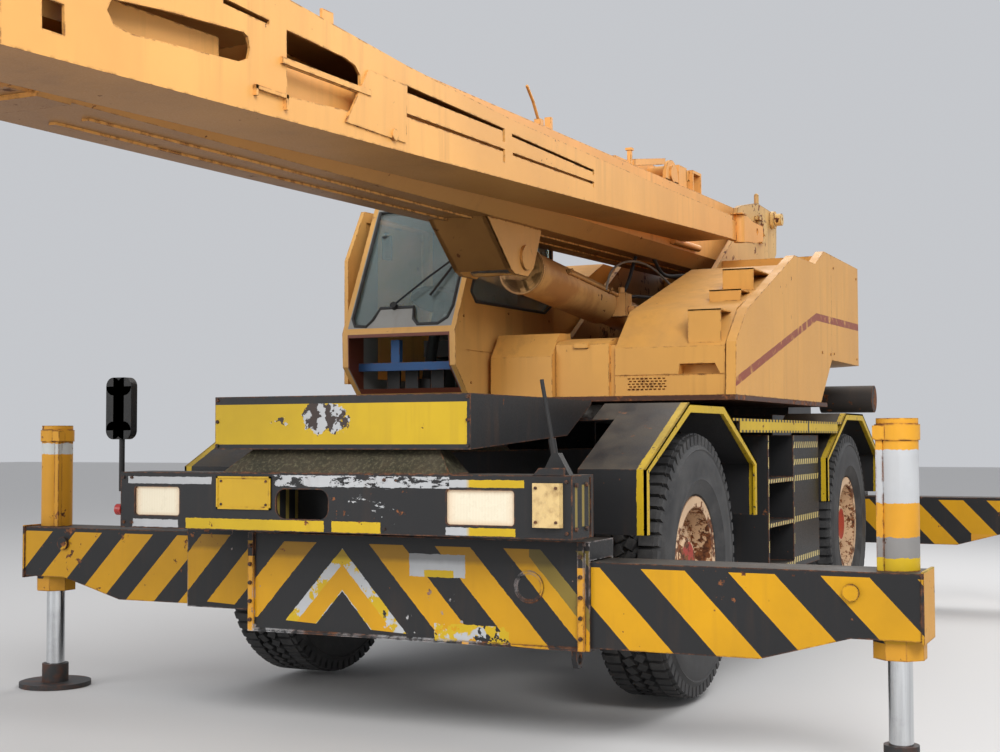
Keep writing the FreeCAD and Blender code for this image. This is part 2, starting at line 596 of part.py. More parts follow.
def engine_hood():
    """Hood over the engine: low where the turret swings over it, high behind."""
    outline = [(DECK_REAR_X, RAIL_TOP), (DECK_REAR_X, HOOD_LOW_TOP), (HOOD_STEP_X, HOOD_LOW_TOP),
               (HOOD_STEP_X - 60, HOOD_HIGH_TOP), (HOOD_REAR_X + 60, HOOD_HIGH_TOP), (HOOD_REAR_X, HOOD_HIGH_TOP - 90),
               (HOOD_REAR_X, RAIL_TOP)]
    t = HOOD_T
    inner = [(DECK_REAR_X - t, RAIL_TOP - 10), (DECK_REAR_X - t, HOOD_LOW_TOP - t), (HOOD_STEP_X - t, HOOD_LOW_TOP - t),
             (HOOD_STEP_X - 60 - t, HOOD_HIGH_TOP - t), (HOOD_REAR_X + 60 + t, HOOD_HIGH_TOP - t),
             (HOOD_REAR_X + t, HOOD_HIGH_TOP - 90 - t), (HOOD_REAR_X + t, RAIL_TOP - 10)]
    shell = prism_y(outline, -HOOD_HALF_W, HOOD_HALF_W)
    return shell.cut(prism_y(inner, -HOOD_HALF_W + t, HOOD_HALF_W - t))


def muffler():
    """Mesh-wrapped silencer across the rear deck's left side, on a bracket from the hood."""
    z = HOOD_LOW_TOP + 20 + MUFFLER_R
    body = cyl(MUFFLER_X, HOOD_HALF_W + 250, z, Y_AXIS, MUFFLER_R, 430)
    pipe = cyl(MUFFLER_X, HOOD_HALF_W, z, Y_AXIS, 45, 260)
    return fuse([body, pipe])


def cheek_outline():
    """Side plate of the turret that carries the boom's foot."""
    return [(0, TURRET_Z + BASE_T), (-20, 1900), (-1000, 2500), (PIVOT_X + 620, PIVOT_Z - 120),
            (PIVOT_X + 240, PIVOT_Z + 190), (PIVOT_X + 120, PIVOT_Z + 270), (PIVOT_X - 140, PIVOT_Z + 250),
            (PIVOT_X - 300, PIVOT_Z + 60), (PIVOT_X - 260, COUNTERWEIGHT_TOP + SEAT_GAP),
            (COUNTERWEIGHT_SIDE_X + SEAT_GAP, COUNTERWEIGHT_TOP + SEAT_GAP), (COUNTERWEIGHT_SIDE_X + SEAT_GAP, 1960),
            (-1430, 1960), (TURRET_REAR_X, TURRET_Z + BASE_T)]


def turret_frame():
    """Base plate, two cheeks, the foot lugs of the lift cylinder and both pins."""
    base = box(TURRET_REAR_X, TURRET_FRONT_X, -TURRET_HALF_W, TURRET_HALF_W, TURRET_Z, TURRET_Z + BASE_T)
    cheeks = both_sides(prism_y(cheek_outline(), CHEEK_Y, CHEEK_Y + CHEEK_T))
    bore = cyl(PIVOT_X, -CHEEK_Y, PIVOT_Z, Y_AXIS, PIVOT_R + 50, 2 * CHEEK_Y)
    bosses = [cyl(PIVOT_X, side * (CHEEK_Y + CHEEK_T), PIVOT_Z, vec(0, side, 0), 120, 30) for side in (1, -1)]
    pin = cyl(PIVOT_X, -CHEEK_Y - CHEEK_T - 50, PIVOT_Z, Y_AXIS, PIVOT_R, 2 * (CHEEK_Y + CHEEK_T + 50))
    lug_outline = [(FOOT_X - 300, TURRET_Z + BASE_T), (FOOT_X + 300, TURRET_Z + BASE_T),
                   (FOOT_X + 110, FOOT_Z + 60), (FOOT_X + 60, FOOT_Z + 110), (FOOT_X - 60, FOOT_Z + 110),
                   (FOOT_X - 110, FOOT_Z + 60)]
    lugs = both_sides(prism_y(lug_outline, FOOT_LUG_Y, FOOT_LUG_Y + 40))
    foot_pin = cyl(FOOT_X, -FOOT_LUG_Y - 60, FOOT_Z, Y_AXIS, 55, 2 * (FOOT_LUG_Y + 60))
    floor = box(COUNTERWEIGHT_SIDE_X + SEAT_GAP, -1430, -CHEEK_Y, CHEEK_Y, 1960, 1990)
    tie = box(-60, 0, -CHEEK_Y, CHEEK_Y, TURRET_Z + BASE_T, 1850)
    return fuse([base, floor, tie, pin, foot_pin] + cheeks + bosses + lugs)


def counterweight():
    """Cast tail weight: two wings beside the cheeks and a block with cut corners behind them."""
    plan = [(COUNTERWEIGHT_FRONT_X, -TURRET_HALF_W), (COUNTERWEIGHT_FRONT_X, TURRET_HALF_W),
            (COUNTERWEIGHT_SIDE_X, TURRET_HALF_W), (COUNTERWEIGHT_REAR_X, 760), (COUNTERWEIGHT_REAR_X, -760),
            (COUNTERWEIGHT_SIDE_X, -TURRET_HALF_W)]
    body = prism_z(plan, COUNTERWEIGHT_BOTTOM, COUNTERWEIGHT_TOP)
    inside = CHEEK_Y + CHEEK_T
    well = box(COUNTERWEIGHT_SIDE_X, 0, -inside, inside, COUNTERWEIGHT_BOTTOM - 10, COUNTERWEIGHT_TOP + 10)
    return body.cut(well)


def cover_outline():
    """Outline of the left side cover in (x, z)."""
    low = TURRET_Z + BASE_T
    return [(TURRET_FRONT_X, low), (TURRET_FRONT_X, 1962), (1075, 2183), (-300, 2600), (-880, 2600),
            (-1200, COUNTERWEIGHT_TOP), (COUNTERWEIGHT_FRONT_X, COUNTERWEIGHT_TOP),
            (COUNTERWEIGHT_FRONT_X, COUNTERWEIGHT_BOTTOM), (-1110, low)]


def left_housing():
    """Housing left of the boom: side cover, stepped slope and the vent box at its front."""
    low = TURRET_Z + BASE_T
    cover = prism_y(cover_outline(), TURRET_HALF_W - COVER_T, TURRET_HALF_W)
    block = prism_y([(TURRET_FRONT_X, low), (TURRET_FRONT_X, STEP_BOX_TOP), (1180, STEP_BOX_TOP + 20),
                     (-300, 2480), (-1180, 2480), (-1180, low)], STEP_BOX_Y, TURRET_HALF_W - COVER_T)
    # Step plates: X of the front edge, height above the base of the slope
    steps = []
    for x, z in ((960, 2100), (560, 2260), (160, 2420)):
        steps.append(prism_y([(x, z), (x, z - 130), (x - 330, z - 10), (x - 330, z)], 640, 1100))
    return fuse([cover, block] + steps)


def right_housing():
    """Plain housing right of the boom, behind the cab."""
    low = TURRET_Z + BASE_T
    outline = [(CAB_REAR_X - 20, low), (CAB_REAR_X - 20, 2480), (-100, 2560), (-880, 2600),
               (-1200, COUNTERWEIGHT_TOP), (COUNTERWEIGHT_FRONT_X, COUNTERWEIGHT_TOP),
               (COUNTERWEIGHT_FRONT_X, COUNTERWEIGHT_BOTTOM), (-1110, low)]
    return prism_y(outline, -TURRET_HALF_W, -CHEEK_Y - CHEEK_T - 40)


def front_covers():
    """Low covers between the cab and the step box, in front of the lift cylinder."""
    low = TURRET_Z + BASE_T
    front = prism_y([(TURRET_FRONT_X, low), (TURRET_FRONT_X, 2000), (1150, 2050), (1130, low)], -300, 120)
    middle = prism_y([(TURRET_FRONT_X, low), (TURRET_FRONT_X, 1900), (700, 1980), (680, low)], 150, STEP_BOX_Y)
    return group([front, middle])


def cab_outline():
    """Side outline of the cab in (x, z): undercut nose, leaning windscreen, flat roof."""
    return [(CAB_REAR_X, 1660), (1500, 1660), (1620, 2060), (1560, 2140), (1210, 2860), (1100, 2960),
            (CAB_REAR_X, 2960)]


def inset_outline(points, t):
    """Convex outline moved inward by t, by meeting each pair of shifted edges."""
    count = len(points)
    area = sum(points[i][0] * points[(i + 1) % count][1] - points[(i + 1) % count][0] * points[i][1]
               for i in range(count))
    turn = 1 if area > 0 else -1
    lines = []
    for i in range(count):
        (x0, z0), (x1, z1) = points[i], points[(i + 1) % count]
        length = math.hypot(x1 - x0, z1 - z0)
        nx, nz = -turn * (z1 - z0) / length, turn * (x1 - x0) / length
        lines.append((x0 + nx * t, z0 + nz * t, x1 - x0, z1 - z0))
    moved = []
    for i in range(count):
        ax, az, adx, adz = lines[i - 1]
        bx, bz, bdx, bdz = lines[i]
        k = ((bx - ax) * bdz - (bz - az) * bdx) / (adx * bdz - adz * bdx)
        moved.append((ax + k * adx, az + k * adz))
    return moved


def cab_shell():
    """Hollow cab with its window and door openings and the open lower front."""
    outer = prism_y(cab_outline(), CAB_RIGHT_Y, CAB_LEFT_Y)
    inner = prism_y(inset_outline(cab_outline(), CAB_T), CAB_RIGHT_Y + CAB_T, CAB_LEFT_Y - CAB_T)
    shell = outer.cut(inner)
    y0, y1 = CAB_RIGHT_Y + 50, CAB_LEFT_Y - 50
    screen = prism_y([(1750, 2145), (1750, 2900), (1000, 2900), (1400, 2145)], y0, y1)
    lower = box(1300, 1750, y0, y1, 1700, 2010)
    left_window = box(CAB_REAR_X + 60, 1200, CAB_LEFT_Y - 60, CAB_LEFT_Y + 10, 2150, 2840)
    nose_corner = prism_y([(1100, 2150), (1460, 2150), (1150, 2840), (1100, 2840)], CAB_LEFT_Y - 60, CAB_LEFT_Y + 10)
    doorway = box(DOOR_HINGE_X + 30, DOOR_FRONT_X - 90, CAB_RIGHT_Y - 10, CAB_RIGHT_Y + 60, DOOR_BOTTOM + 30,
                  DOOR_TOP - 60)
    rear_window = box(CAB_REAR_X - 10, CAB_REAR_X + 60, CAB_RIGHT_Y + 100, CAB_LEFT_Y - 100, 2250, 2800)
    for opening in (screen, lower, left_window, nose_corner, doorway, rear_window):
        shell = shell.cut(opening)
    feet = [box(x, x + 120, y, y + 80, TURRET_Z + BASE_T, 1660) for x in (200, 1150)
            for y in (CAB_RIGHT_Y + 60, CAB_LEFT_Y - 140)]
    hinge_y = CAB_RIGHT_Y - 6 - DOOR_T / 2
    hinges = []
    for z in HINGE_Z:
        hinges.append(cyl(DOOR_HINGE_X, hinge_y, z - 30, Z_AXIS, HINGE_PIN_R, 140))
        hinges += [box(DOOR_HINGE_X - 40, DOOR_HINGE_X + HINGE_PIN_R, hinge_y - HINGE_PIN_R, CAB_RIGHT_Y, low, low + 20)
                   for low in (z - 30, z + 90)]
    return fuse([shell] + feet + hinges)


def cab_glass():
    """Windscreen, left side pane and rear pane, seated in the middle of the walls."""
    y0, y1 = CAB_RIGHT_Y + 50, CAB_LEFT_Y - 50
    slope = (1560.0 - 1210.0) / (2860.0 - 2140.0)
    x_low = 1560 - (2146 - 2140) * slope
    x_high = 1560 - (2859 - 2140) * slope
    screen = prism_y([(x_low - 24, 2146), (x_low - 16, 2146), (x_high - 16, 2859), (x_high - 24, 2859)], y0, y1)
    side = prism_y([(CAB_REAR_X + 60, 2150), (1460, 2150), (1150, 2840), (CAB_REAR_X + 60, 2840)],
                   CAB_LEFT_Y - 24, CAB_LEFT_Y - 16)
    rear = box(CAB_REAR_X + 16, CAB_REAR_X + 24, CAB_RIGHT_Y + 100, CAB_LEFT_Y - 100, 2250, 2800)
    return group([screen, side, rear])


def cab_interior():
    """Seat, console with levers, pedals and the crossbars in the open lower front."""
    floor = 1660 + CAB_T
    seat = fuse([box(420, 620, -830, -610, floor, 1920), box(300, 800, -980, -470, 1920, 2030),
                 box(260, 380, -960, -490, 2030, 2620), box(270, 370, -870, -580, 2620, 2780)])
    console = fuse([box(500, 1000, -470, -385, floor, 2120), cyl(900, -430, 2120, Z_AXIS, 12, 180),
                    cyl(700, -430, 2120, Z_AXIS, 12, 180)])
    lean = vec(-0.33, 0, 0.944)
    wheel_at = vec(1250, -730, floor) + lean * 600
    column = fuse([box(1190, 1300, -790, -670, floor, floor + 70), cyl(1240, -730, floor + 30, lean, 35, 580),
                   cyl(wheel_at.x, wheel_at.y, wheel_at.z, lean, 190, 30)])
    pedals = [box(1330, 1350, y, y + 90, floor, floor + 160) for y in (-950, -820, -640)]
    across = box(1440, 1480, CAB_RIGHT_Y + CAB_T, CAB_LEFT_Y - CAB_T, 1800, 1850)
    upright = box(1440, 1480, -850, -790, 1850, 1990)
    return group([seat, console, column, fuse([across, upright])] + pedals)


def cab_door():
    """Door on the right side, hinged at its rear edge and standing a little open."""
    y = CAB_RIGHT_Y - 6
    panel = box(DOOR_HINGE_X + HINGE_LEAF, DOOR_FRONT_X, y - DOOR_T, y, DOOR_BOTTOM, DOOR_TOP)
    knuckles = [cyl(DOOR_HINGE_X, y - DOOR_T / 2, z, Z_AXIS, DOOR_T / 2, 80) for z in HINGE_Z]
    knuckles += [box(DOOR_HINGE_X, DOOR_HINGE_X + HINGE_LEAF + 30, y - DOOR_T, y - DOOR_T / 2 + 6, z, z + 80)
                 for z in HINGE_Z]
    slant = prism_y([(DOOR_FRONT_X + 10, 2500), (DOOR_FRONT_X + 10, DOOR_TOP + 10), (DOOR_FRONT_X - 175, DOOR_TOP + 10)],
                    y - DOOR_T - 5, y + 5)
    window = box(DOOR_HINGE_X + 80, DOOR_FRONT_X - 190, y - DOOR_T - 5, y + 5, 2160, DOOR_TOP - 70)
    door = fuse([panel.cut(slant).cut(window)] + knuckles)
    door = door.cut(cyl(DOOR_HINGE_X, y - DOOR_T / 2, DOOR_BOTTOM - 10, Z_AXIS, HINGE_PIN_R + PIN_GAP,
                        DOOR_TOP - DOOR_BOTTOM))
    pane = box(DOOR_HINGE_X + 80, DOOR_FRONT_X - 190, y - DOOR_T + 10, y - DOOR_T + 16, 2160, DOOR_TOP - 70)
    door = group([door, pane])
    door.rotate(vec(DOOR_HINGE_X, y - DOOR_T / 2, 0), Z_AXIS, -DOOR_AJAR_DEG)
    return door


def winch_drum():
    """Hoist drum with its two flanges, between the cheeks behind the cylinder's foot."""
    x, z = WINCH_X, WINCH_Z
    shaft = CHEEK_Y - SEAT_GAP
    return fuse([cyl(x, -300, z, Y_AXIS, 150, 600), cyl(x, -300, z, Y_AXIS, 230, 20), cyl(x, 280, z, Y_AXIS, 230, 20),
                 cyl(x, -shaft, z, Y_AXIS, 60, 2 * shaft)])


def to_boom(shape):
    """Place a shape that is modelled level at the boom's foot: turn it by the stowed angle."""
    shape = shape.copy()
    shape.translate(vec(PIVOT_X, 0, PIVOT_Z))
    shape.rotate(vec(PIVOT_X, 0, PIVOT_Z), Y_AXIS, BOOM_DROP_DEG)
    return shape


def boom_point(u, w):
    """World (x, z) of a point given along (u) and above (w) the boom's foot pin."""
    a = math.radians(BOOM_DROP_DEG)
    return PIVOT_X + u * math.cos(a) + w * math.sin(a), PIVOT_Z - u * math.sin(a) + w * math.cos(a)


def local_point(x, z):
    """Boom coordinates (u, w) of a world point."""
    a = math.radians(BOOM_DROP_DEG)
    dx, dz = x - PIVOT_X, z - PIVOT_Z
    return dx * math.cos(a) - dz * math.sin(a), dx * math.sin(a) + dz * math.cos(a)


# Telescopic sections, inner ones later: start, end, half width, low and high face
SECTIONS = ((420.0, 8560.0, 252.0, -270.0, 288.0), (480.0, 8800.0, 224.0, -240.0, 256.0),
            (540.0, 9040.0, 196.0, -210.0, 224.0))


def boom_base():
    """Base section: box boom with foot boss, nose collar, cylinder bracket and jib brackets."""
    wall = BOOM_WALL
    body = box(BOOM_FOOT, BOOM_END, -BOOM_HALF_W, BOOM_HALF_W, BOOM_LOW, BOOM_HIGH)
    body = body.cut(box(200, BOOM_END + 10, -BOOM_HALF_W + wall, BOOM_HALF_W - wall, BOOM_LOW + wall,
                        BOOM_HIGH - wall))
    rear_cut = prism_y([(BOOM_FOOT - 10, BOOM_HIGH + 10), (40, BOOM_HIGH + 10), (BOOM_FOOT - 10, 60)],
                       -BOOM_HALF_W - 10, BOOM_HALF_W + 10)
    body = body.cut(rear_cut)
    collar = box(BOOM_END - 160, BOOM_END, -BOOM_HALF_W - 12, BOOM_HALF_W + 12, BOOM_LOW - 12, BOOM_HIGH + 12)
    start, end, half, low, high = SECTIONS[0]
    gap = SEAT_GAP
    pads = collar.cut(box(BOOM_END - 170, BOOM_END + 10, -half - gap, half + gap, low - gap, high + gap))
    foot = cyl(0, -CHEEK_Y + 1, 0, Y_AXIS, 115, 2 * CHEEK_Y - 2)
    # Bracket outline of the lift cylinder, from world points under the boom
    corners = [local_point(x, z) for x, z in ((2470, 2600), (EYE_X + 250, EYE_Z - 100), (EYE_X - 130, EYE_Z - 100),
                                              (880, 2700))]
    corners = [(corners[0][0], BOOM_LOW + 2)] + corners[1:3] + [(corners[3][0], BOOM_LOW + 2)]
    lugs = both_sides(prism_y(corners, LUG_Y, LUG_Y + LUG_T))
    eye = local_point(EYE_X, EYE_Z)
    caps = [cyl(eye[0], side * (LUG_Y + LUG_T), eye[1], vec(0, side, 0), 80, 18) for side in (1, -1)]
    brackets = [box(u - 40, u + 40, BOOM_HALF_W - 2, 310, BOOM_LOW + 40, BOOM_LOW + 260) for u in (1700, 4600, 7700)]
    body = fuse([body, pads, foot] + lugs + caps + brackets)
    body = body.cut(cyl(0, -CHEEK_Y - 10, 0, Y_AXIS, PIVOT_R + PIN_GAP, 2 * CHEEK_Y + 20))
    return to_boom(body)


def boom_section(index):
    """Telescopic section: hollow box with a nose collar that carries the next one on its pads."""
    start, end, half, low, high = SECTIONS[index]
    wall = BOOM_WALL
    body = box(start, end, -half, half, low, high)
    body = body.cut(box(start - 10, end + 10, -half + wall, half - wall, low + wall, high - wall))
    pieces = [body]
    if index + 1 < len(SECTIONS):
        nhalf, nlow, nhigh = SECTIONS[index + 1][2:]
        gap = SEAT_GAP
        nose = box(end - 140, end, -half - 8, half + 8, low - 8, high + 8)
        pieces.append(nose.cut(box(end - 150, end + 10, -nhalf - gap, nhalf + gap, nlow - gap, nhigh + gap)))
    else:
        pieces += head_plates(end, half, low, high)
    return to_boom(fuse(pieces))


def head_plates(end, half, low, high):
    """Boom head: two side plates, end plate and the pins of the upper and lower sheaves."""
    outline = [(end - 200, high), (end - 200, low), (end - 60, low - 60), (HEAD_PIN_U - 130, HEAD_PIN_W - 60),
               (HEAD_PIN_U - 60, HEAD_PIN_W - 120), (HEAD_PIN_U + 60, HEAD_PIN_W - 120),
               (HEAD_PIN_U + 130, HEAD_PIN_W - 50), (HEAD_PIN_U + 130, -220), (HEAD_PIN_U + 40, 250),
               (HEAD_PIN_U - 40, 320), (HEAD_PIN_U - 160, 320)]
    plate = prism_y(outline, half, half + HEAD_PLATE_T)
    plate = plate.cut(cyl(HEAD_PIN_U + JIB_PIN_DU, half - 5, JIB_PIN_W, Y_AXIS, JIB_PIN_R, HEAD_PLATE_T + 10))
    plates = both_sides(plate)
    close = box(end - 12, end, -half, half, low, high)
    pins = [cyl(HEAD_PIN_U, -half - 45, HEAD_PIN_W, Y_AXIS, HEAD_PIN_R, 2 * half + 90),
            cyl(HEAD_PIN_U - 60, -half - 45, 200, Y_AXIS, HEAD_PIN_R, 2 * half + 90)]
    return plates + [close] + pins


def head_sheaves():
    """Rope sheaves of the boom head: five on the lower pin and one on the upper."""
    def sheave(u, w, y):
        bore_r = HEAD_PIN_R + PIN_GAP
        return revolve_y([(bore_r, y - 22), (SHEAVE_R, y - 22), (SHEAVE_R - GROOVE, y - 12),
                          (SHEAVE_R - GROOVE, y + 12), (SHEAVE_R, y + 22), (bore_r, y + 22)], u, w)
    lower = [sheave(HEAD_PIN_U, HEAD_PIN_W, y) for y in (-120, -60, 0, 60, 120)]
    upper = [sheave(HEAD_PIN_U - 60, 200, y) for y in (-60, 60)]
    return to_boom(group(lower + upper))


def fly_jib():
    """Two-stage fly jib stowed along the boom's left side: a tapered box with cut-outs."""
    side0, side1 = 310.0, 660.0
    outline = [(1250, -340), (1250, 60), (1700, 110), (8900, 60), (9050, -40), (9050, -330), (8900, -360)]
    body = prism_y(outline, side0, side1)
    body = body.cut(prism_y([(1400, -300), (1400, 20), (1720, 70), (8850, 20), (8850, -320)], side0 + 12, side1 - 12))
    hinge = cyl(1230, side1 - 60, -330, Z_AXIS, 60, 390)
    return to_boom(fuse([body, hinge]))


def cylinder_axis():
    dx, dz = EYE_X - FOOT_X, EYE_Z - FOOT_Z
    length = math.hypot(dx, dz)
    return vec(dx / length, 0, dz / length), length


def on_cylinder(s):
    """Point on the lift cylinder's axis, measured from its foot pin."""
    return vec(FOOT_X, 0, FOOT_Z) + cylinder_axis()[0] * s


def lift_barrel():
    """Barrel with its foot eye, the fat outer sleeve of its front half and the gland ring at its mouth."""
    axis, length = cylinder_axis()
    end = length - BARREL_SHORT_OF_EYE
    tube = Part.makeCylinder(BARREL_R, end - BARREL_START, on_cylinder(BARREL_START), axis)
    sleeve = Part.makeCylinder(SLEEVE_R, SLEEVE_LENGTH, on_cylinder(end - SLEEVE_LENGTH), axis)
    neck = Part.makeCylinder(90, BARREL_START, on_cylinder(40), axis)
    eye = cyl(FOOT_X, -FOOT_LUG_Y + 5, FOOT_Z, Y_AXIS, 110, 2 * FOOT_LUG_Y - 10)
    body = fuse([tube, sleeve, neck, eye])
    bore_start = BARREL_START + 80
    body = body.cut(Part.makeCylinder(BARREL_BORE_R, end - GLAND_LENGTH - bore_start, on_cylinder(bore_start), axis))
    body = body.cut(Part.makeCylinder(ROD_R + PIN_GAP, GLAND_LENGTH + 20, on_cylinder(end - GLAND_LENGTH - 10), axis))
    return body.cut(cyl(FOOT_X, -300, FOOT_Z, Y_AXIS, 55 + PIN_GAP, 600))


def lift_rod():
    """Rod with piston and eye. The eye carries its pin between the boom's lugs."""
    axis, length = cylinder_axis()
    piston_at = BARREL_START + 80 + PISTON_CLEAR
    rod = Part.makeCylinder(ROD_R, length - 60 - piston_at, on_cylinder(piston_at), axis)
    piston = Part.makeCylinder(BARREL_BORE_R - PIN_GAP, PISTON_LENGTH, on_cylinder(piston_at), axis)
    eye = cyl(EYE_X, -LUG_Y + 5, EYE_Z, Y_AXIS, 95, 2 * LUG_Y - 10)
    return fuse([rod, piston, eye])


def hook_seat():
    """Point inside the hook's bowl where a sling lies."""
    x, z = boom_point(HEAD_PIN_U, HEAD_PIN_W)
    return vec(x + HOOK_SIDE, 0, z - HOOK_DROP - HOOK_BELOW - HOOK_BOWL_R + HOOK_R)


def hook_block():
    """Hook block hanging under the boom head: cheeks, sheaves, swivel and hook."""
    x, z = boom_point(HEAD_PIN_U, HEAD_PIN_W)
    top = z - HOOK_DROP
    cheeks = both_sides(prism_y([(x - 150, top + 60), (x - 90, top + 150), (x + 90, top + 150), (x + 150, top + 60),
                                 (x + 90, top - 260), (x - 90, top - 260)], 120, 145))
    middle = box(x - 90, x + 90, -120, 120, top - 260, top - 200)
    sheaves = [cyl(x, y - 20, top, Y_AXIS, 170, 40) for y in (-60, 0, 60)]
    pin = cyl(x, -150, top, Y_AXIS, 35, 300)
    rope_x = SHEAVE_R - GROOVE + ROPE_R + SEAT_GAP
    ropes = [cyl(x + side * rope_x, y, top, Z_AXIS, ROPE_R, z - top) for side in (1, -1) for y in (-60, 0, 60)]
    rope_bars = [box(x - rope_x, x + rope_x, y - 12, y + 12, top - 14, top + 14) for y in (-60, 0, 60)]
    shank = cyl(x, 0, top - 340, Z_AXIS, 40, 90)
    bowl = vec(x + HOOK_SIDE, 0, top - HOOK_BELOW)
    ring = Part.makeTorus(HOOK_BOWL_R, HOOK_R, bowl, Y_AXIS, -180, 180, 360)
    gap = box(bowl.x + 10, bowl.x + 220, -60, 60, bowl.z, bowl.z + 110)
    return fuse(cheeks + [middle, pin, shank, ring.cut(gap)] + sheaves + ropes + rope_bars)


def build_all():
    """Every node as name and shape, about the middle of the wheelbase."""
    nodes = {
        "chassis_frame": chassis_frame(), "slew_ring": slew_ring(), "deck_plates": deck_plates(),
        "fenders": fenders(), "front_outrigger_box": front_outrigger_box(),
        "rear_outrigger_box": rear_outrigger_box(), "front_bumper": front_bumper(),
        "rear_bumper": rear_bumper(), "front_deck": front_deck(), "carrier_lamps": carrier_lamps(),
        "front_mirror": front_mirror(), "side_boxes": side_boxes(), "engine": engine(),
        "engine_hood": engine_hood(), "muffler": muffler(),
        "axles": group([axle(WHEELBASE / 2), axle(-WHEELBASE / 2)]),
        "turret_frame": turret_frame(), "counterweight": counterweight(), "left_housing": left_housing(),
        "right_housing": right_housing(), "front_covers": front_covers(), "cab_shell": cab_shell(),
        "cab_glass": cab_glass(), "cab_interior": cab_interior(), "cab_door": cab_door(),
        "winch_drum": winch_drum(), "boom_base": boom_base(), "boom_section_2": boom_section(0),
        "boom_section_3": boom_section(1), "boom_section_4": boom_section(2),
        "head_sheaves": head_sheaves(), "fly_jib": fly_jib(), "lift_barrel": lift_barrel(),
        "lift_rod": lift_rod(), "hook_block": hook_block()}
    for name, sx, sy in CORNERS:
        x = sx * WHEELBASE / 2
        nodes["knuckle_" + name] = knuckle(x, sy)
        nodes["rim_" + name] = rim(x, sy)
        nodes["tyre_" + name] = tyre(x, sy)
        nodes["beam_" + name] = outrigger_beam(name, sx, sy)
        nodes["jack_" + name] = jack_rod(name, sx, sy)
    return nodes


def origin_shift(nodes):
    """Distance from the middle of the wheelbase to the middle of the whole crane."""
    bounds = FreeCAD.BoundBox()
    for shape in nodes.values():
        bounds.add(shape.optimalBoundingBox(False))
    return round((bounds.XMin + bounds.XMax) / 2, 3)


def main():
    os.makedirs("parts", exist_ok=True)
    nodes = build_all()
    shift = origin_shift(nodes)
    for name, shape in nodes.items():
        shape.translate(vec(-shift, 0, 0))
        shape.exportStep("parts/" + name + ".step")
        solids = shape.Solids
        print(name, len(solids), "solids", shape.isValid(), round(shape.Volume / 1e9, 4), "m3")
    print("origin shift", shift)


if __name__ == "__main__":
    main()
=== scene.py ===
import json
import math

import bmesh
import bpy
from mathutils import Matrix, Vector

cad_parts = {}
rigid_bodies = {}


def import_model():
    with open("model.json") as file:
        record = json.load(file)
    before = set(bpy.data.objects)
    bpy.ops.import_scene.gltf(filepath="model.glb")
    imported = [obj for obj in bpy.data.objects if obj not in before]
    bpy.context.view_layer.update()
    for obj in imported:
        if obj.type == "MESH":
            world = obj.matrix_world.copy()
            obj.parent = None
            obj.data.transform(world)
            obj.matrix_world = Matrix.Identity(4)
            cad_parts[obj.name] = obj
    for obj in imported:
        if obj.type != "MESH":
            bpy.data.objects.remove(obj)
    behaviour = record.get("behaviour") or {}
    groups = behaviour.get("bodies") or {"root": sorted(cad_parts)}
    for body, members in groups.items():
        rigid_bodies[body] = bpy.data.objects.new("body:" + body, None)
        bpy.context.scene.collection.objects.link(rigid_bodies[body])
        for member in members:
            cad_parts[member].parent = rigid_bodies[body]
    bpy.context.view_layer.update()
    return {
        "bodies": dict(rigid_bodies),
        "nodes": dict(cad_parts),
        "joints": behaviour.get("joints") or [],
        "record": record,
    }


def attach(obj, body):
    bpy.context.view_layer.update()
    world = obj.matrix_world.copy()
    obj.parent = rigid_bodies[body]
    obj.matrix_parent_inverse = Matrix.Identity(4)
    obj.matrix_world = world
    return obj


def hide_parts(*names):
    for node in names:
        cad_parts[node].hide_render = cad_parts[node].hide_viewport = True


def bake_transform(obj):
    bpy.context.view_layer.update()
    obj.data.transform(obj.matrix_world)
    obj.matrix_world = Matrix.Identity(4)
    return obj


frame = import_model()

NODES = frame["nodes"]
# Places are written as on the carrier: millimetres from the middle of the wheelbase, floor at zero.
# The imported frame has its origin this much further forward, in metres.
SHIFT = 1.665006


# Floor, light and camera
FLOOR_HALF = 60.0
FLOOR_GREY = (0.60, 0.59, 0.58, 1.0)
SKY_COLOUR = (0.80, 0.82, 0.86, 1.0)
SKY_STRENGTH = 0.70
# Place and aim in metres, size across, watts
STUDIO_LAMPS = (((9.0, 7.5, 8.5), (0.5, 0.0, 1.5), 6.0, 1250.0),
                ((11.0, -7.0, 5.0), (0.5, 0.0, 1.5), 7.0, 480.0),
                ((-8.0, 2.0, 9.0), (0.0, 0.0, 1.5), 8.0, 750.0))
SENSOR_WIDTH = 36.0
LENS = 52.2
CAMERA_REACH = 200.0
# The camera's place on the carrier in metres, and its own right and up
CAMERA_PLACE = (9.3181, 3.5329, 1.3852)
CAMERA_RIGHT = (-0.42129024, 0.90692072, -0.00305622)
CAMERA_UP = (0.03717769, 0.02063693, 0.99909556)


def shown(name, data):
    """New object in the scene at the origin."""
    thing = bpy.data.objects.new(name, data)
    bpy.context.scene.collection.objects.link(thing)
    return thing


def principled(name):
    """New material with the builder of its shader tree and its shader."""
    material = bpy.data.materials.new(name)
    material.use_nodes = True
    return material, Nodes(material.node_tree), material.node_tree.nodes["Principled BSDF"]


def studio_floor():
    mesh = bpy.data.meshes.new("studio_floor")
    low, high = -FLOOR_HALF, FLOOR_HALF
    mesh.from_pydata([(low, low, 0), (high, low, 0), (high, high, 0), (low, high, 0)], [], [(0, 1, 2, 3)])
    floor = shown("studio_floor", mesh)
    material, _, shader = principled("studio_floor")
    shader.inputs["Base Color"].default_value = FLOOR_GREY
    shader.inputs["Roughness"].default_value = 0.7
    mesh.materials.append(material)


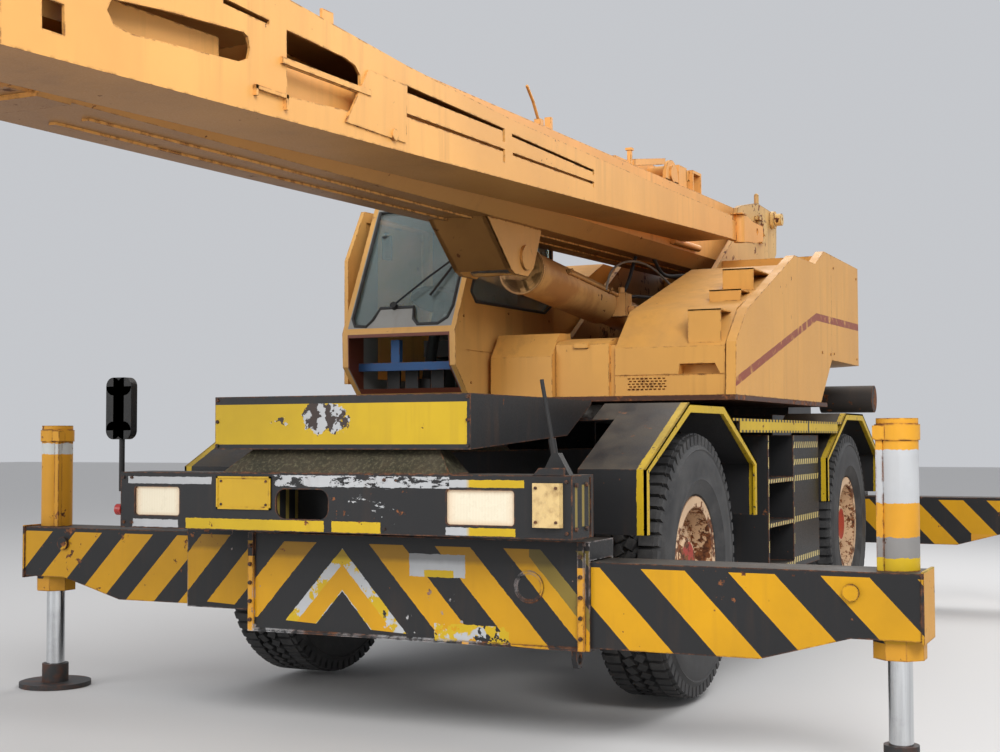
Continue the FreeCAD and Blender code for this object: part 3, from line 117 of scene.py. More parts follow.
def studio_light():
    world = bpy.data.worlds.new("studio")
    bpy.context.scene.world = world
    world.use_nodes = True
    sky = world.node_tree.nodes["Background"]
    sky.inputs["Color"].default_value = SKY_COLOUR
    sky.inputs["Strength"].default_value = SKY_STRENGTH
    for place, aim, size, power in STUDIO_LAMPS:
        lamp = bpy.data.lights.new("studio_lamp", "AREA")
        lamp.size = size
        lamp.energy = power
        holder = shown("studio_lamp", lamp)
        holder.location = place
        holder.rotation_euler = (Vector(aim) - Vector(place)).to_track_quat("-Z", "Y").to_euler()


def photo_camera():
    data = bpy.data.cameras.new("photo_camera")
    data.sensor_width = SENSOR_WIDTH
    data.lens = LENS
    data.clip_end = CAMERA_REACH
    camera = shown("photo_camera", data)
    right, up = Vector(CAMERA_RIGHT), Vector(CAMERA_UP)
    turn = Matrix((right, up, right.cross(up))).transposed().to_4x4()
    camera.matrix_world = Matrix.Translation(Vector(CAMERA_PLACE) - Vector((SHIFT, 0, 0))) @ turn
    bpy.context.scene.camera = camera


# Paint colours
BOOM_ORANGE = (0.83, 0.42, 0.115)
COVER_ORANGE = (0.73, 0.37, 0.085)
CAB_ORANGE = (0.78, 0.42, 0.12)
SAFETY_YELLOW = (0.64, 0.42, 0.012)
STRIPE_YELLOW = (0.66, 0.33, 0.006)
JACK_ORANGE = (0.70, 0.33, 0.025)
CARRIER_BLACK = (0.020, 0.020, 0.021)
DEEP_BLACK = (0.010, 0.010, 0.011)
PRIMER_WHITE = (0.52, 0.53, 0.54)
BAND_GREY = (0.26, 0.25, 0.24)
RUST_DARK = (0.075, 0.028, 0.014)
RUST_BRIGHT = (0.26, 0.095, 0.035)
ROAD_DUST = (0.15, 0.115, 0.075)
# Painted shade for faces that point down
BOOM_SHADE = (0.085, 0.030, 0.009)
STRIPE_BROWN = (0.28, 0.055, 0.025)
HUB_RED = (0.42, 0.035, 0.018)
RIM_CREAM = (0.74, 0.50, 0.30)
CROSSBAR_BLUE = (0.04, 0.12, 0.30)


# Building shader trees
class Nodes:
    """Adds nodes to one shader tree. Every value may be a number, a colour or another node's socket."""

    def __init__(self, tree):
        self.tree = tree

    def add(self, kind, values=(), **settings):
        node = self.tree.nodes.new(kind)
        for name, value in settings.items():
            setattr(node, name, value)
        for key, value in dict(values).items():
            self.feed(node.inputs[key], value)
        return node

    def feed(self, socket, value):
        if isinstance(value, bpy.types.NodeSocket):
            self.tree.links.new(value, socket)
        elif socket.type == "RGBA":
            socket.default_value = (*value[:3], 1.0)
        else:
            socket.default_value = value

    def math(self, operation, a, b=0.0, c=0.0):
        return self.add("ShaderNodeMath", {0: a, 1: b, 2: c}, operation=operation).outputs[0]

    def plus(self, a, b):
        return self.math("ADD", a, b)

    def minus(self, a, b):
        return self.math("SUBTRACT", a, b)

    def absolute(self, a):
        return self.math("ABSOLUTE", a)

    def above(self, a, b):
        return self.math("GREATER_THAN", a, b)

    def below(self, a, b):
        return self.math("LESS_THAN", a, b)

    def faces(self, direction, limit=0.7):
        """One where a component of the normal points along its axis either way."""
        return self.above(self.absolute(direction), limit)

    def product(self, *factors):
        result = factors[0]
        for factor in factors[1:]:
            result = self.math("MULTIPLY", result, factor)
        return result

    def either(self, *masks):
        result = masks[0]
        for mask in masks[1:]:
            result = self.math("MAXIMUM", result, mask)
        return result

    def mix(self, mask, first, second):
        node = self.add("ShaderNodeMix", data_type="RGBA")
        for index, value in ((0, mask), (6, first), (7, second)):
            self.feed(node.inputs[index], value)
        return node.outputs[2]

    def ramp(self, value, low, high, start=0.0, end=1.0):
        """Straight rise from start at low to end at high, held outside."""
        values = {"Value": value, "From Min": low, "From Max": high, "To Min": start, "To Max": end}
        return self.add("ShaderNodeMapRange", values).outputs[0]

    def noise(self, place, scale, detail=4.0, roughness=0.5):
        values = {"Vector": place, "Scale": scale, "Detail": detail, "Roughness": roughness}
        return self.add("ShaderNodeTexNoise", values).outputs[0]

    def stretched(self, place, scale):
        return self.add("ShaderNodeMapping", {"Vector": place, "Scale": scale}).outputs[0]

    def between(self, value, low, high):
        """One where a value is between two numbers."""
        return self.math("COMPARE", value, (low + high) / 2, (high - low) / 2)

    def bands(self, value, start, pitch, share):
        """One on the painted share of each pitch."""
        turn = self.math("FRACT", self.math("DIVIDE", self.minus(value, start), pitch))
        return self.below(turn, share)

    def relief(self, shader, strength, distance, height):
        """Fine relief on the shader's normal."""
        values = {"Strength": strength, "Distance": distance, "Height": height}
        self.feed(shader.inputs["Normal"], self.add("ShaderNodeBump", values).outputs[0])


def node_group(name, inputs, outputs):
    """Empty shader node group with named number inputs and outputs."""
    group = bpy.data.node_groups.new(name, "ShaderNodeTree")
    for label, value in inputs:
        group.interface.new_socket(label, in_out="INPUT", socket_type="NodeSocketFloat").default_value = value
    for label in outputs:
        group.interface.new_socket(label, in_out="OUTPUT", socket_type="NodeSocketFloat")
    start = group.nodes.new("NodeGroupInput")
    end = group.nodes.new("NodeGroupOutput")
    return Nodes(group), start, end


def edge_wear_group():
    """Mask of outer edges where paint is rubbed through, broken up by noise."""
    n, start, end = node_group("edge_wear", (("Radius", 0.012), ("Grain", 22.0), ("Amount", 0.5)), ("Worn",))
    soft = n.add("ShaderNodeBevel", {"Radius": start.outputs["Radius"]}, samples=4)
    face = n.add("ShaderNodeNewGeometry")
    bend = n.add("ShaderNodeVectorMath", {0: soft.outputs[0], 1: face.outputs["Normal"]},
                 operation="DOT_PRODUCT")
    edge = n.ramp(bend.outputs["Value"], 0.985, 0.86)
    place = n.add("ShaderNodeTexCoord").outputs["Object"]
    broken = n.ramp(n.noise(place, start.outputs["Grain"], 5.0, 0.6), n.minus(0.82, start.outputs["Amount"]),
                    n.minus(0.95, start.outputs["Amount"]))
    n.feed(end.inputs["Worn"], n.product(edge, broken))
    return n.tree


def weather_group():
    """Large colour drift, vertical streaks, sharp paint flakes, dust on flat faces and fine grain."""
    n, start, end = node_group("weather", (("Flaking", 0.3), ("Size", 1.0)),
                               ("Drift", "Streaks", "Flakes", "Dust", "Grain"))
    place = n.add("ShaderNodeTexCoord").outputs["Object"]
    size = start.outputs["Size"]
    drift = n.noise(place, n.product(1.6, size), 5.0, 0.55)
    streaks = n.ramp(n.noise(n.stretched(place, (1.0, 1.0, 0.07)), 13.0, 4.0, 0.6), 0.50, 0.74)
    patch = n.ramp(n.noise(place, n.product(2.3, size), 3.0, 0.5), 0.40, 0.66)
    speckle = n.noise(place, n.product(17.0, size), 6.0, 0.62)
    level = n.minus(0.80, n.product(start.outputs["Flaking"], n.plus(0.18, n.product(patch, 0.55))))
    flakes = n.ramp(n.minus(speckle, level), 0.0, 0.012)
    up = n.add("ShaderNodeSeparateXYZ", {0: n.add("ShaderNodeNewGeometry").outputs["Normal"]}).outputs[2]
    dust = n.product(n.ramp(up, 0.35, 0.95), n.ramp(n.noise(place, 5.0, 5.0, 0.6), 0.30, 0.70))
    grain = n.noise(place, 150.0, 3.0, 0.6)
    for name, value in (("Drift", drift), ("Streaks", streaks), ("Flakes", flakes), ("Dust", dust),
                        ("Grain", grain)):
        n.feed(end.inputs[name], value)
    return n.tree


def rust_group():
    """Mask that tells bright rust from dark rust."""
    n, start, end = node_group("rust", (("Size", 1.0),), ("Bright",))
    place = n.add("ShaderNodeTexCoord").outputs["Object"]
    n.feed(end.inputs["Bright"], n.ramp(n.noise(place, n.product(38.0, start.outputs["Size"]), 5.0, 0.6),
                                        0.42, 0.62))
    return n.tree


GROUPS = {"edge_wear": edge_wear_group(), "weather": weather_group(), "rust": rust_group()}


class Place:
    """Where a shaded point is on the crane, as sockets in metres."""

    def __init__(self, n):
        self.point = n.add("ShaderNodeTexCoord").outputs["Object"]
        parts = n.add("ShaderNodeSeparateXYZ", {0: self.point})
        self.x = n.plus(parts.outputs[0], SHIFT)
        self.y = parts.outputs[1]
        self.z = parts.outputs[2]
        self.out = n.absolute(self.y)
        facing = n.add("ShaderNodeSeparateXYZ", {0: n.add("ShaderNodeNewGeometry").outputs["Normal"]})
        self.facing_x = facing.outputs[0]
        self.facing_y = facing.outputs[1]
        self.facing_z = facing.outputs[2]
        self.ragged = n.product(n.minus(n.noise(self.point, 26.0, 5.0, 0.65), 0.5), 0.03)


def painted(name, paint, pattern=None, roughness=0.45, flaking=0.25, size=1.0, edge=0.35, streaks=0.25,
            dust=0.25, shade=0.0, primer=0.0, bump=0.35):
    """Old paint on steel. The pattern gives the paint's colour from the place on the crane."""
    material, n, shader = principled(name)
    shader.inputs["Specular IOR Level"].default_value = 0.28
    where = Place(n)
    weather = n.add("ShaderNodeGroup", node_tree=GROUPS["weather"])
    n.feed(weather.inputs["Flaking"], flaking)
    n.feed(weather.inputs["Size"], size)
    wear = n.add("ShaderNodeGroup", node_tree=GROUPS["edge_wear"])
    n.feed(wear.inputs["Amount"], edge)
    rust = n.add("ShaderNodeGroup", node_tree=GROUPS["rust"])
    drift = weather.outputs["Drift"]
    colour = pattern(n, where) if pattern else paint
    paler = n.mix(n.ramp(drift, 0.35, 0.68),
                  n.mix(0.22, colour, (0.30, 0.13, 0.045) if shade else DEEP_BLACK), colour)
    rusty = n.mix(rust.outputs["Bright"], RUST_DARK, RUST_BRIGHT)
    bare = n.mix(n.product(n.ramp(drift, 0.46, 0.54), primer), rusty, PRIMER_WHITE) if primer else rusty
    lost = n.either(weather.outputs["Flakes"], wear.outputs["Worn"])
    worn = n.mix(lost, paler, bare)
    streaked = n.mix(n.product(weather.outputs["Streaks"], n.ramp(drift, 0.42, 0.66), streaks), worn,
                     (0.13, 0.062, 0.03))
    dusty_and_shaded = n.mix(n.product(weather.outputs["Dust"], dust), streaked, ROAD_DUST)
    # Painted shade: faces that point down darken towards BOOM_SHADE, patchy with the drift, by the shade
    # amount
    if shade:
        below = n.product(n.ramp(where.facing_z, -0.2, -0.8), n.ramp(drift, 0.20, 0.62, 0.7, 1.0), shade)
        dusty_and_shaded = n.mix(below, dusty_and_shaded, BOOM_SHADE)
    n.feed(shader.inputs["Base Color"], dusty_and_shaded)
    rough = n.plus(n.ramp(weather.outputs["Grain"], 0.3, 0.7, roughness - 0.06, roughness + 0.08),
                   n.product(n.either(lost, weather.outputs["Dust"]), 0.3))
    n.feed(shader.inputs["Roughness"], rough)
    height = n.minus(n.product(weather.outputs["Grain"], 0.25), n.product(lost, 0.7))
    dents = n.product(n.noise(where.point, 3.1, 2.0, 0.4), 2.0)
    n.relief(shader, bump, 0.002, n.plus(height, dents))
    return material


# What is painted where
def beam_pattern(start, pitch, share, top, tube_bands):
    """Hazard stripes on a beam's two faces, yellow end plate and collar, banded jack tube."""
    def pattern(n, where):
        slant = n.plus(n.plus(where.out, n.product(n.minus(where.z, top), 0.95)),
                       n.product(where.ragged, 0.15))
        side = n.faces(where.facing_x, 0.6)
        stripe = n.product(n.bands(slant, start, pitch, share), side, n.above(where.out, start - 0.21),
                           n.below(where.z, top - 0.022))
        colour = n.mix(stripe, CARRIER_BLACK, STRIPE_YELLOW)
        low = n.below(where.z, top - 0.29)
        ends = n.above(n.product(where.facing_y, n.math("SIGN", where.y)), 0.7)
        reach = n.above(where.out, 2.29 if top > 0.85 else 2.57)
        near_end = n.above(where.out, 2.05 if top > 0.85 else 2.33)
        colour = n.mix(n.either(n.product(ends, reach), n.product(low, near_end)), colour, JACK_ORANGE)
        tube = JACK_ORANGE
        for z0, z1, band in tube_bands:
            tube = n.mix(n.between(n.plus(where.z, where.ragged), z0, z1), tube, band)
        return n.mix(n.above(where.z, top + 0.002), colour, tube)
    return pattern


def chevron_pattern(n, where):
    """Chevrons on the outrigger box's front plate, their peak near the middle."""
    z = n.minus(0.88, where.z)
    across = n.absolute(n.plus(where.y, 0.072))
    slant = n.plus(n.minus(across, n.product(z, 0.9)), n.product(where.ragged, 0.5))
    front = n.faces(where.facing_x)
    stripe = n.product(n.bands(slant, 0.15, 0.35, 0.52), front, n.below(where.z, 0.885),
                       n.above(where.z, n.minus(0.487, n.product(where.y, 0.045))))
    # An older yellow over white shows along both edges of the peaked stripe
    flake = n.noise(n.stretched(where.point, (1.0, 1.0, 0.8)), 16.0, 6.0, 0.7)
    edges = n.either(n.between(slant, -0.085, 0.03), n.between(slant, -0.27, -0.195))
    older = n.mix(n.ramp(n.noise(where.point, 9.0, 5.0, 0.65), 0.49, 0.51), SAFETY_YELLOW, PRIMER_WHITE)
    older = n.mix(n.ramp(flake, 0.62, 0.64), older, CARRIER_BLACK)
    yellow = n.mix(edges, STRIPE_YELLOW, older)
    ends = n.product(n.above(n.absolute(where.x), 3.348), n.below(where.z, 0.81),
                     n.either(n.between(where.out, 0.568, 0.602), n.between(where.out, 1.136, 1.172)))
    olive = n.product(n.above(slant, 0.945), n.above(where.y, 0.9))
    yellow = n.mix(olive, yellow, (0.24, 0.17, 0.03))
    colour = n.mix(stripe, CARRIER_BLACK, yellow)
    y = n.plus(where.y, n.product(where.ragged, 0.5))
    height = n.plus(where.z, n.product(where.ragged, 0.5))
    dash = n.product(front, n.between(y, 0.29, 0.58), n.between(height, 0.742, 0.848))
    middle = n.product(n.between(y, 0.37, 0.52), n.below(height, 0.775))
    colour = n.mix(dash, colour, n.mix(middle, PRIMER_WHITE, SAFETY_YELLOW))
    low_dash = n.product(front, n.between(y, 0.42, 0.80), n.between(height, 0.455, 0.532),
                         n.above(n.noise(where.point, 24.0, 4.0, 0.6), 0.44))
    colour = n.mix(low_dash, colour,
                   n.mix(n.ramp(n.noise(where.point, 11.0, 3.0, 0.6), 0.50, 0.54), SAFETY_YELLOW,
                         PRIMER_WHITE))
    # Front faces darken towards DEEP_BLACK from 0.80 m up to the plate's top edge, under the bumper
    darker_top = n.product(front, n.ramp(height, 0.800, 0.825), 0.45)
    return n.mix(ends, n.mix(darker_top, colour, DEEP_BLACK), JACK_ORANGE)


def bumper_pattern(n, where):
    """Black bumper with worn yellow strips above and below the lamps and along its lower edge."""
    front = n.faces(where.facing_x)
    low = n.plus(where.z, n.product(where.ragged, 0.4))
    y = n.plus(where.y, n.product(where.ragged, 0.6))
    strip = n.product(n.between(low, 0.953, 1.003),
                      n.either(n.between(y, -0.81, -0.03), n.between(y, 0.01, 0.27)))
    right = n.product(n.between(low, 0.955, 0.992), n.between(y, -1.13, -0.855))
    above = n.product(n.between(low, 1.166, 1.200),
                      n.either(n.between(y, -1.16, -0.66), n.between(y, 0.62, 0.98)))
    under = n.product(n.between(low, 0.955, 0.990), n.between(y, 0.60, 0.94))
    patch = n.ramp(where.y, 0.70, 0.72, 1.0, 0.0)
    rubbed = n.noise(n.stretched(where.point, (1.0, 0.6, 1.6)), 19.0, 6.0, 0.7)
    top_edge = n.product(n.between(low, 1.160, 1.212), n.between(y, -0.32, 0.62), n.above(rubbed, 0.47))
    scuffs = n.product(n.between(y, 0.10, 0.34), n.between(low, 0.99, 1.17), n.above(rubbed, 0.60))
    side = n.product(n.faces(where.facing_y), n.between(where.z, 1.0, 1.18),
                     n.bands(where.x, 0.0, 0.08, 0.35))
    worn_strip = n.mix(patch, SAFETY_YELLOW, PRIMER_WHITE)
    colour = n.mix(n.product(front, n.either(top_edge, scuffs)), CARRIER_BLACK, PRIMER_WHITE)
    colour = n.mix(n.product(front, n.either(above, under, right)), colour, worn_strip)
    colour = n.mix(n.product(front, strip), colour, SAFETY_YELLOW)
    return n.mix(side, colour, (0.30, 0.22, 0.05))


def deck_box_pattern(n, where):
    """Black deck box whose front face carries a large worn yellow panel."""
    front = n.above(where.facing_x, 0.7)
    y = n.plus(where.y, n.product(where.ragged, 0.3))
    panel = n.product(front, n.between(y, -0.72, 0.672), n.between(where.z, 1.356, 1.547))
    # Two worn places: a large one right of the middle and a small one beside it
    ring = n.noise(where.point, 17.0, 5.0, 0.65)
    spots = []
    for y0, z0, reach in ((-0.075, 1.480, 0.125), (-0.32, 1.475, 0.035)):
        dy = n.minus(where.y, y0)
        dz = n.product(n.minus(where.z, z0), 1.7)
        far = n.math("SQRT", n.plus(n.product(dy, dy), n.product(dz, dz)))
        spots.append(n.below(n.minus(far, n.product(n.minus(ring, 0.5), 0.22)), reach))
    bare = n.mix(n.ramp(n.noise(where.point, 22.0, 4.0, 0.6), 0.50, 0.52), (0.05, 0.035, 0.03), PRIMER_WHITE)
    yellow = n.mix(n.either(*spots), SAFETY_YELLOW, bare)
    hood = n.product(n.between(where.z, 1.225, 1.402), n.above(where.facing_z, 0.25),
                     n.above(where.x, 2.7))
    specks = n.ramp(n.noise(where.point, 60.0, 5.0, 0.75), 0.50, 0.68)
    olive = n.mix(specks, (0.030, 0.029, 0.018), (0.16, 0.15, 0.085))
    return n.mix(panel, n.mix(hood, CARRIER_BLACK, olive), yellow)


def fender_pattern(n, where):
    """Black fenders whose outer lip is yellow with nibbled edges."""
    lip = n.above(n.plus(where.out, n.product(where.ragged, 0.5)), 1.264)
    nibbled = n.above(n.noise(where.point, 34.0, 3.0, 0.6), 0.34)
    return n.mix(n.product(lip, nibbled), CARRIER_BLACK, SAFETY_YELLOW)


def deck_pattern(n, where):
    """Deck whose edge bars have yellow tape with black dashes along both borders."""
    bar = n.product(n.above(where.out, 1.3085), n.between(where.z, 1.405, 1.492))
    middle = n.between(where.z, 1.424, 1.474)
    dashes = n.bands(where.x, 0.0, 0.075, 0.5)
    tape = n.product(bar, n.either(middle, dashes), n.minus(1.0, n.between(where.x, -0.40, -0.36)))
    return n.mix(tape, CARRIER_BLACK, SAFETY_YELLOW)


def box_pattern(n, where):
    """Side boxes and steps with bits of hazard tape on their edges."""
    side = n.faces(where.facing_y)
    outer = n.above(where.out, 1.24)
    chips = n.bands(n.plus(where.x, n.product(where.z, 0.5)), 0.0, 0.06, 0.5)
    rows = n.either(n.between(where.z, 1.31, 1.352), n.between(where.z, 1.20, 1.236),
                    n.between(where.z, 0.82, 0.86), n.between(where.z, 0.555, 0.592),
                    n.between(where.z, 1.092, 1.13))
    tape = n.product(side, outer, rows, chips)
    edges = n.product(side, outer, n.bands(where.z, 0.0, 0.17, 0.42),
                      n.either(n.between(where.x, -0.215, -0.185), n.between(where.x, 0.595, 0.612)))
    return n.mix(n.either(tape, edges), CARRIER_BLACK, (0.70, 0.55, 0.20))


def cover_pattern(n, where):
    """Covers with the brown-red stripe that rises along the side cover and the counterweight."""
    side = n.above(where.out, 1.249)
    rise = n.ramp(where.x, 1.165, -0.928, 1.705, 2.233)
    flat = n.ramp(where.x, -0.928, -2.407, 0.0, 0.024)
    middle = n.plus(rise, flat)
    off = n.absolute(n.minus(n.plus(where.z, n.product(where.ragged, 0.25)), middle))
    stripe = n.product(side, n.below(off, 0.027), n.above(where.x, -2.43))
    faded = n.mix(n.ramp(n.noise(where.point, 9.0, 4.0, 0.6), 0.55, 0.68), STRIPE_BROWN, COVER_ORANGE)
    return n.mix(stripe, COVER_ORANGE, faded)


def turret_pattern(n, where):
    """Dark rusty base plate, painted cheeks and lugs."""
    return n.mix(n.below(where.z, 1.632),
                 n.mix(n.ramp(where.out, 0.36, 0.44), (0.50, 0.24, 0.08), (0.72, 0.47, 0.17)), RUST_DARK)


def rim_pattern(x):
    """Cream rim rusting along its edge and a red hub."""
    def pattern(n, where):
        dx = n.minus(where.x, x)
        dz = n.minus(where.z, 0.715)
        radius = n.math("SQRT", n.plus(n.product(dx, dx), n.product(dz, dz)))
        wave = n.plus(radius, n.product(where.ragged, 1.2))
        rusty = n.mix(n.ramp(n.noise(where.point, 30.0, 4.0, 0.6), 0.45, 0.55), RUST_BRIGHT, RIM_CREAM)
        colour = n.mix(n.between(wave, 0.215, 0.30), RIM_CREAM, rusty)
        return n.mix(n.below(radius, 0.118), colour, HUB_RED)
    return pattern


def cab_pattern(n, where):
    """Cab paint outside, pale grey inside, red-brown round the missing panel."""
    inside = n.product(n.between(where.x, 0.135, 1.60), n.between(where.y, -1.088, -0.372),
                       n.between(where.z, 1.68, 2.925))
    edge = n.product(n.between(where.z, 1.66, 2.02), n.above(where.x, 1.42),
                     n.between(where.y, -1.082, -0.378))
    colour = n.mix(inside, CAB_ORANGE, (0.33, 0.33, 0.31))
    return n.mix(edge, colour, (0.20, 0.055, 0.03))


def inside_pattern(n, where):
    """Seat and console black, the two crossbars in the nose opening blue."""
    bars = n.above(where.x, 1.44)
    return n.mix(n.product(bars, n.below(where.z, 2.02)), (0.035, 0.034, 0.033), CROSSBAR_BLUE)


def lift_pattern(n, where):
    """Two oranges in large patches."""
    return n.mix(n.ramp(n.noise(where.point, 4.0, 5.0, 0.6), 0.46, 0.60), (0.78, 0.42, 0.14),
                 (0.60, 0.28, 0.09))


def hook_pattern(n, where):
    """Yellow hook block with black slanting stripes on its cheeks; ropes and hook stay steel."""
    block = n.above(n.absolute(where.y), 0.09)
    slant = n.bands(n.plus(where.x, where.z), 0.0, 0.16, 0.5)
    return n.mix(block, (0.12, 0.10, 0.085), n.mix(slant, STRIPE_YELLOW, CARRIER_BLACK))


def metal(name, colour, roughness, grime, brushed=(1.0, 1.0, 1.0), metallic=1.0):
    """Bare or greasy metal with scratches and dirt."""
    material, n, shader = principled(name)
    where = Place(n)
    scratch = n.noise(n.stretched(where.point, brushed), 60.0, 4.0, 0.6)
    dirt = n.product(n.ramp(n.noise(where.point, 6.0, 6.0, 0.62), 0.48, 0.66), grime)
    rust = n.add("ShaderNodeGroup", node_tree=GROUPS["rust"])
    grimy = n.mix(rust.outputs["Bright"], (0.03, 0.022, 0.018), RUST_DARK)
    n.feed(shader.inputs["Base Color"],
           n.mix(dirt, n.mix(n.ramp(scratch, 0.3, 0.7), n.mix(0.25, colour, DEEP_BLACK), colour), grimy))
    n.feed(shader.inputs["Roughness"], n.plus(n.ramp(scratch, 0.3, 0.7, roughness, roughness + 0.10),
                                              n.product(dirt, 0.45)))
    n.feed(shader.inputs["Metallic"], n.ramp(dirt, 0.0, 1.0, metallic, 0.0))
    n.relief(shader, 0.25, 0.001, n.minus(scratch, dirt))
    return material


def jack_metal():
    """Chromed rod above its black socket and rusty float."""
    material = metal("jack_chrome", (0.72, 0.74, 0.76), 0.10, 0.12, (1.0, 1.0, 0.04))
    n = Nodes(material.node_tree)
    shader = material.node_tree.nodes["Principled BSDF"]
    where = Place(n)
    foot = n.below(where.z, 0.127)
    old = {name: shader.inputs[name].links[0].from_socket for name in ("Base Color", "Roughness", "Metallic")}
    rusty = n.mix(n.ramp(n.noise(where.point, 12.0, 5.0, 0.6), 0.45, 0.62), (0.025, 0.024, 0.024), RUST_DARK)
    n.feed(shader.inputs["Base Color"], n.mix(foot, old["Base Color"], rusty))
    n.feed(shader.inputs["Roughness"], n.either(old["Roughness"], n.product(foot, 0.62)))
    n.feed(shader.inputs["Metallic"], n.product(old["Metallic"], n.minus(1.0, foot)))
    return material


def rubber(name, colour, grey, scale=9.0):
    """Dusty black rubber, greyer where dust has settled."""
    material, n, shader = principled(name)
    where = Place(n)
    dust = n.ramp(n.noise(where.point, scale, 6.0, 0.65), 0.35, 0.72)
    fine = n.noise(where.point, 190.0, 3.0, 0.6)
    n.feed(shader.inputs["Base Color"],
           n.mix(n.product(dust, n.ramp(fine, 0.3, 0.7, 0.5, 1.0)), colour, grey))
    n.feed(shader.inputs["Roughness"], n.ramp(dust, 0.0, 1.0, 0.55, 0.85))
    n.relief(shader, 0.3, 0.001, n.plus(fine, dust))
    return material


def pane_glass():
    """Slightly green, dusty window glass."""
    material, n, shader = principled("pane_glass")
    where = Place(n)
    haze = n.ramp(n.noise(where.point, 3.5, 6.0, 0.62), 0.42, 0.70)
    n.feed(shader.inputs["Base Color"], n.mix(haze, (0.62, 0.78, 0.77), (0.80, 0.84, 0.82)))
    n.feed(shader.inputs["Roughness"], n.ramp(haze, 0.0, 1.0, 0.02, 0.16))
    shader.inputs["Transmission Weight"].default_value = 0.86
    shader.inputs["IOR"].default_value = 1.45
    return material


def lit_lamp():
    """Head lamps glow warm white; marker cover and small lamps keep their own colour."""
    material, n, shader = principled("lit_lamp")
    where = Place(n)
    face = n.product(n.above(where.x, 3.50), n.above(where.facing_x, 0.5),
                     n.below(where.x, 3.572))
    ribs = n.ramp(n.math("SINE", n.product(where.y, 420.0)), -1.0, 1.0, 0.86, 1.0)
    cover = n.product(n.above(where.x, 3.572), n.above(where.y, 0.9))
    dirt = n.ramp(n.noise(where.point, 16.0, 5.0, 0.6), 0.45, 0.70)
    beige = n.mix(dirt, (0.70, 0.50, 0.22), (0.36, 0.22, 0.08))
    red = n.mix(dirt, (0.40, 0.02, 0.015), (0.16, 0.02, 0.015))
    n.feed(shader.inputs["Base Color"],
           n.mix(cover, n.mix(face, red, n.mix(ribs, (0.50, 0.42, 0.28), (0.60, 0.54, 0.42))), beige))
    n.feed(shader.inputs["Roughness"], n.ramp(dirt, 0.0, 1.0, 0.22, 0.55))
    # Warm rim round the bright middle of each head lamp
    rims = []
    for y0, half in ((-0.983, 0.134), (0.768, 0.165)):
        dy = n.product(n.absolute(n.minus(where.y, y0)), 1.0 / half)
        rims.append(n.either(dy, n.product(n.absolute(n.minus(where.z, 1.080)), 13.5)))
    warm = n.ramp(n.math("MINIMUM", *rims), 0.70, 1.02)
    glow = n.mix(warm, n.mix(ribs, (0.62, 0.50, 0.30), (0.72, 0.64, 0.46)), (0.62, 0.26, 0.05))
    n.feed(shader.inputs["Emission Color"], n.mix(face, (0.0, 0.0, 0.0), glow))
    shader.inputs["Emission Strength"].default_value = 0.34
    n.relief(shader, 0.4, 0.002, n.plus(ribs, n.product(dirt, 0.2)))
    return material


FL_BANDS = ((1.113, 1.331, PRIMER_WHITE), (0.89, 0.974, BAND_GREY), (0.83, 0.89, SAFETY_YELLOW))
OTHER_BANDS = ((1.30, 1.36, (0.60, 0.62, 0.60)),)
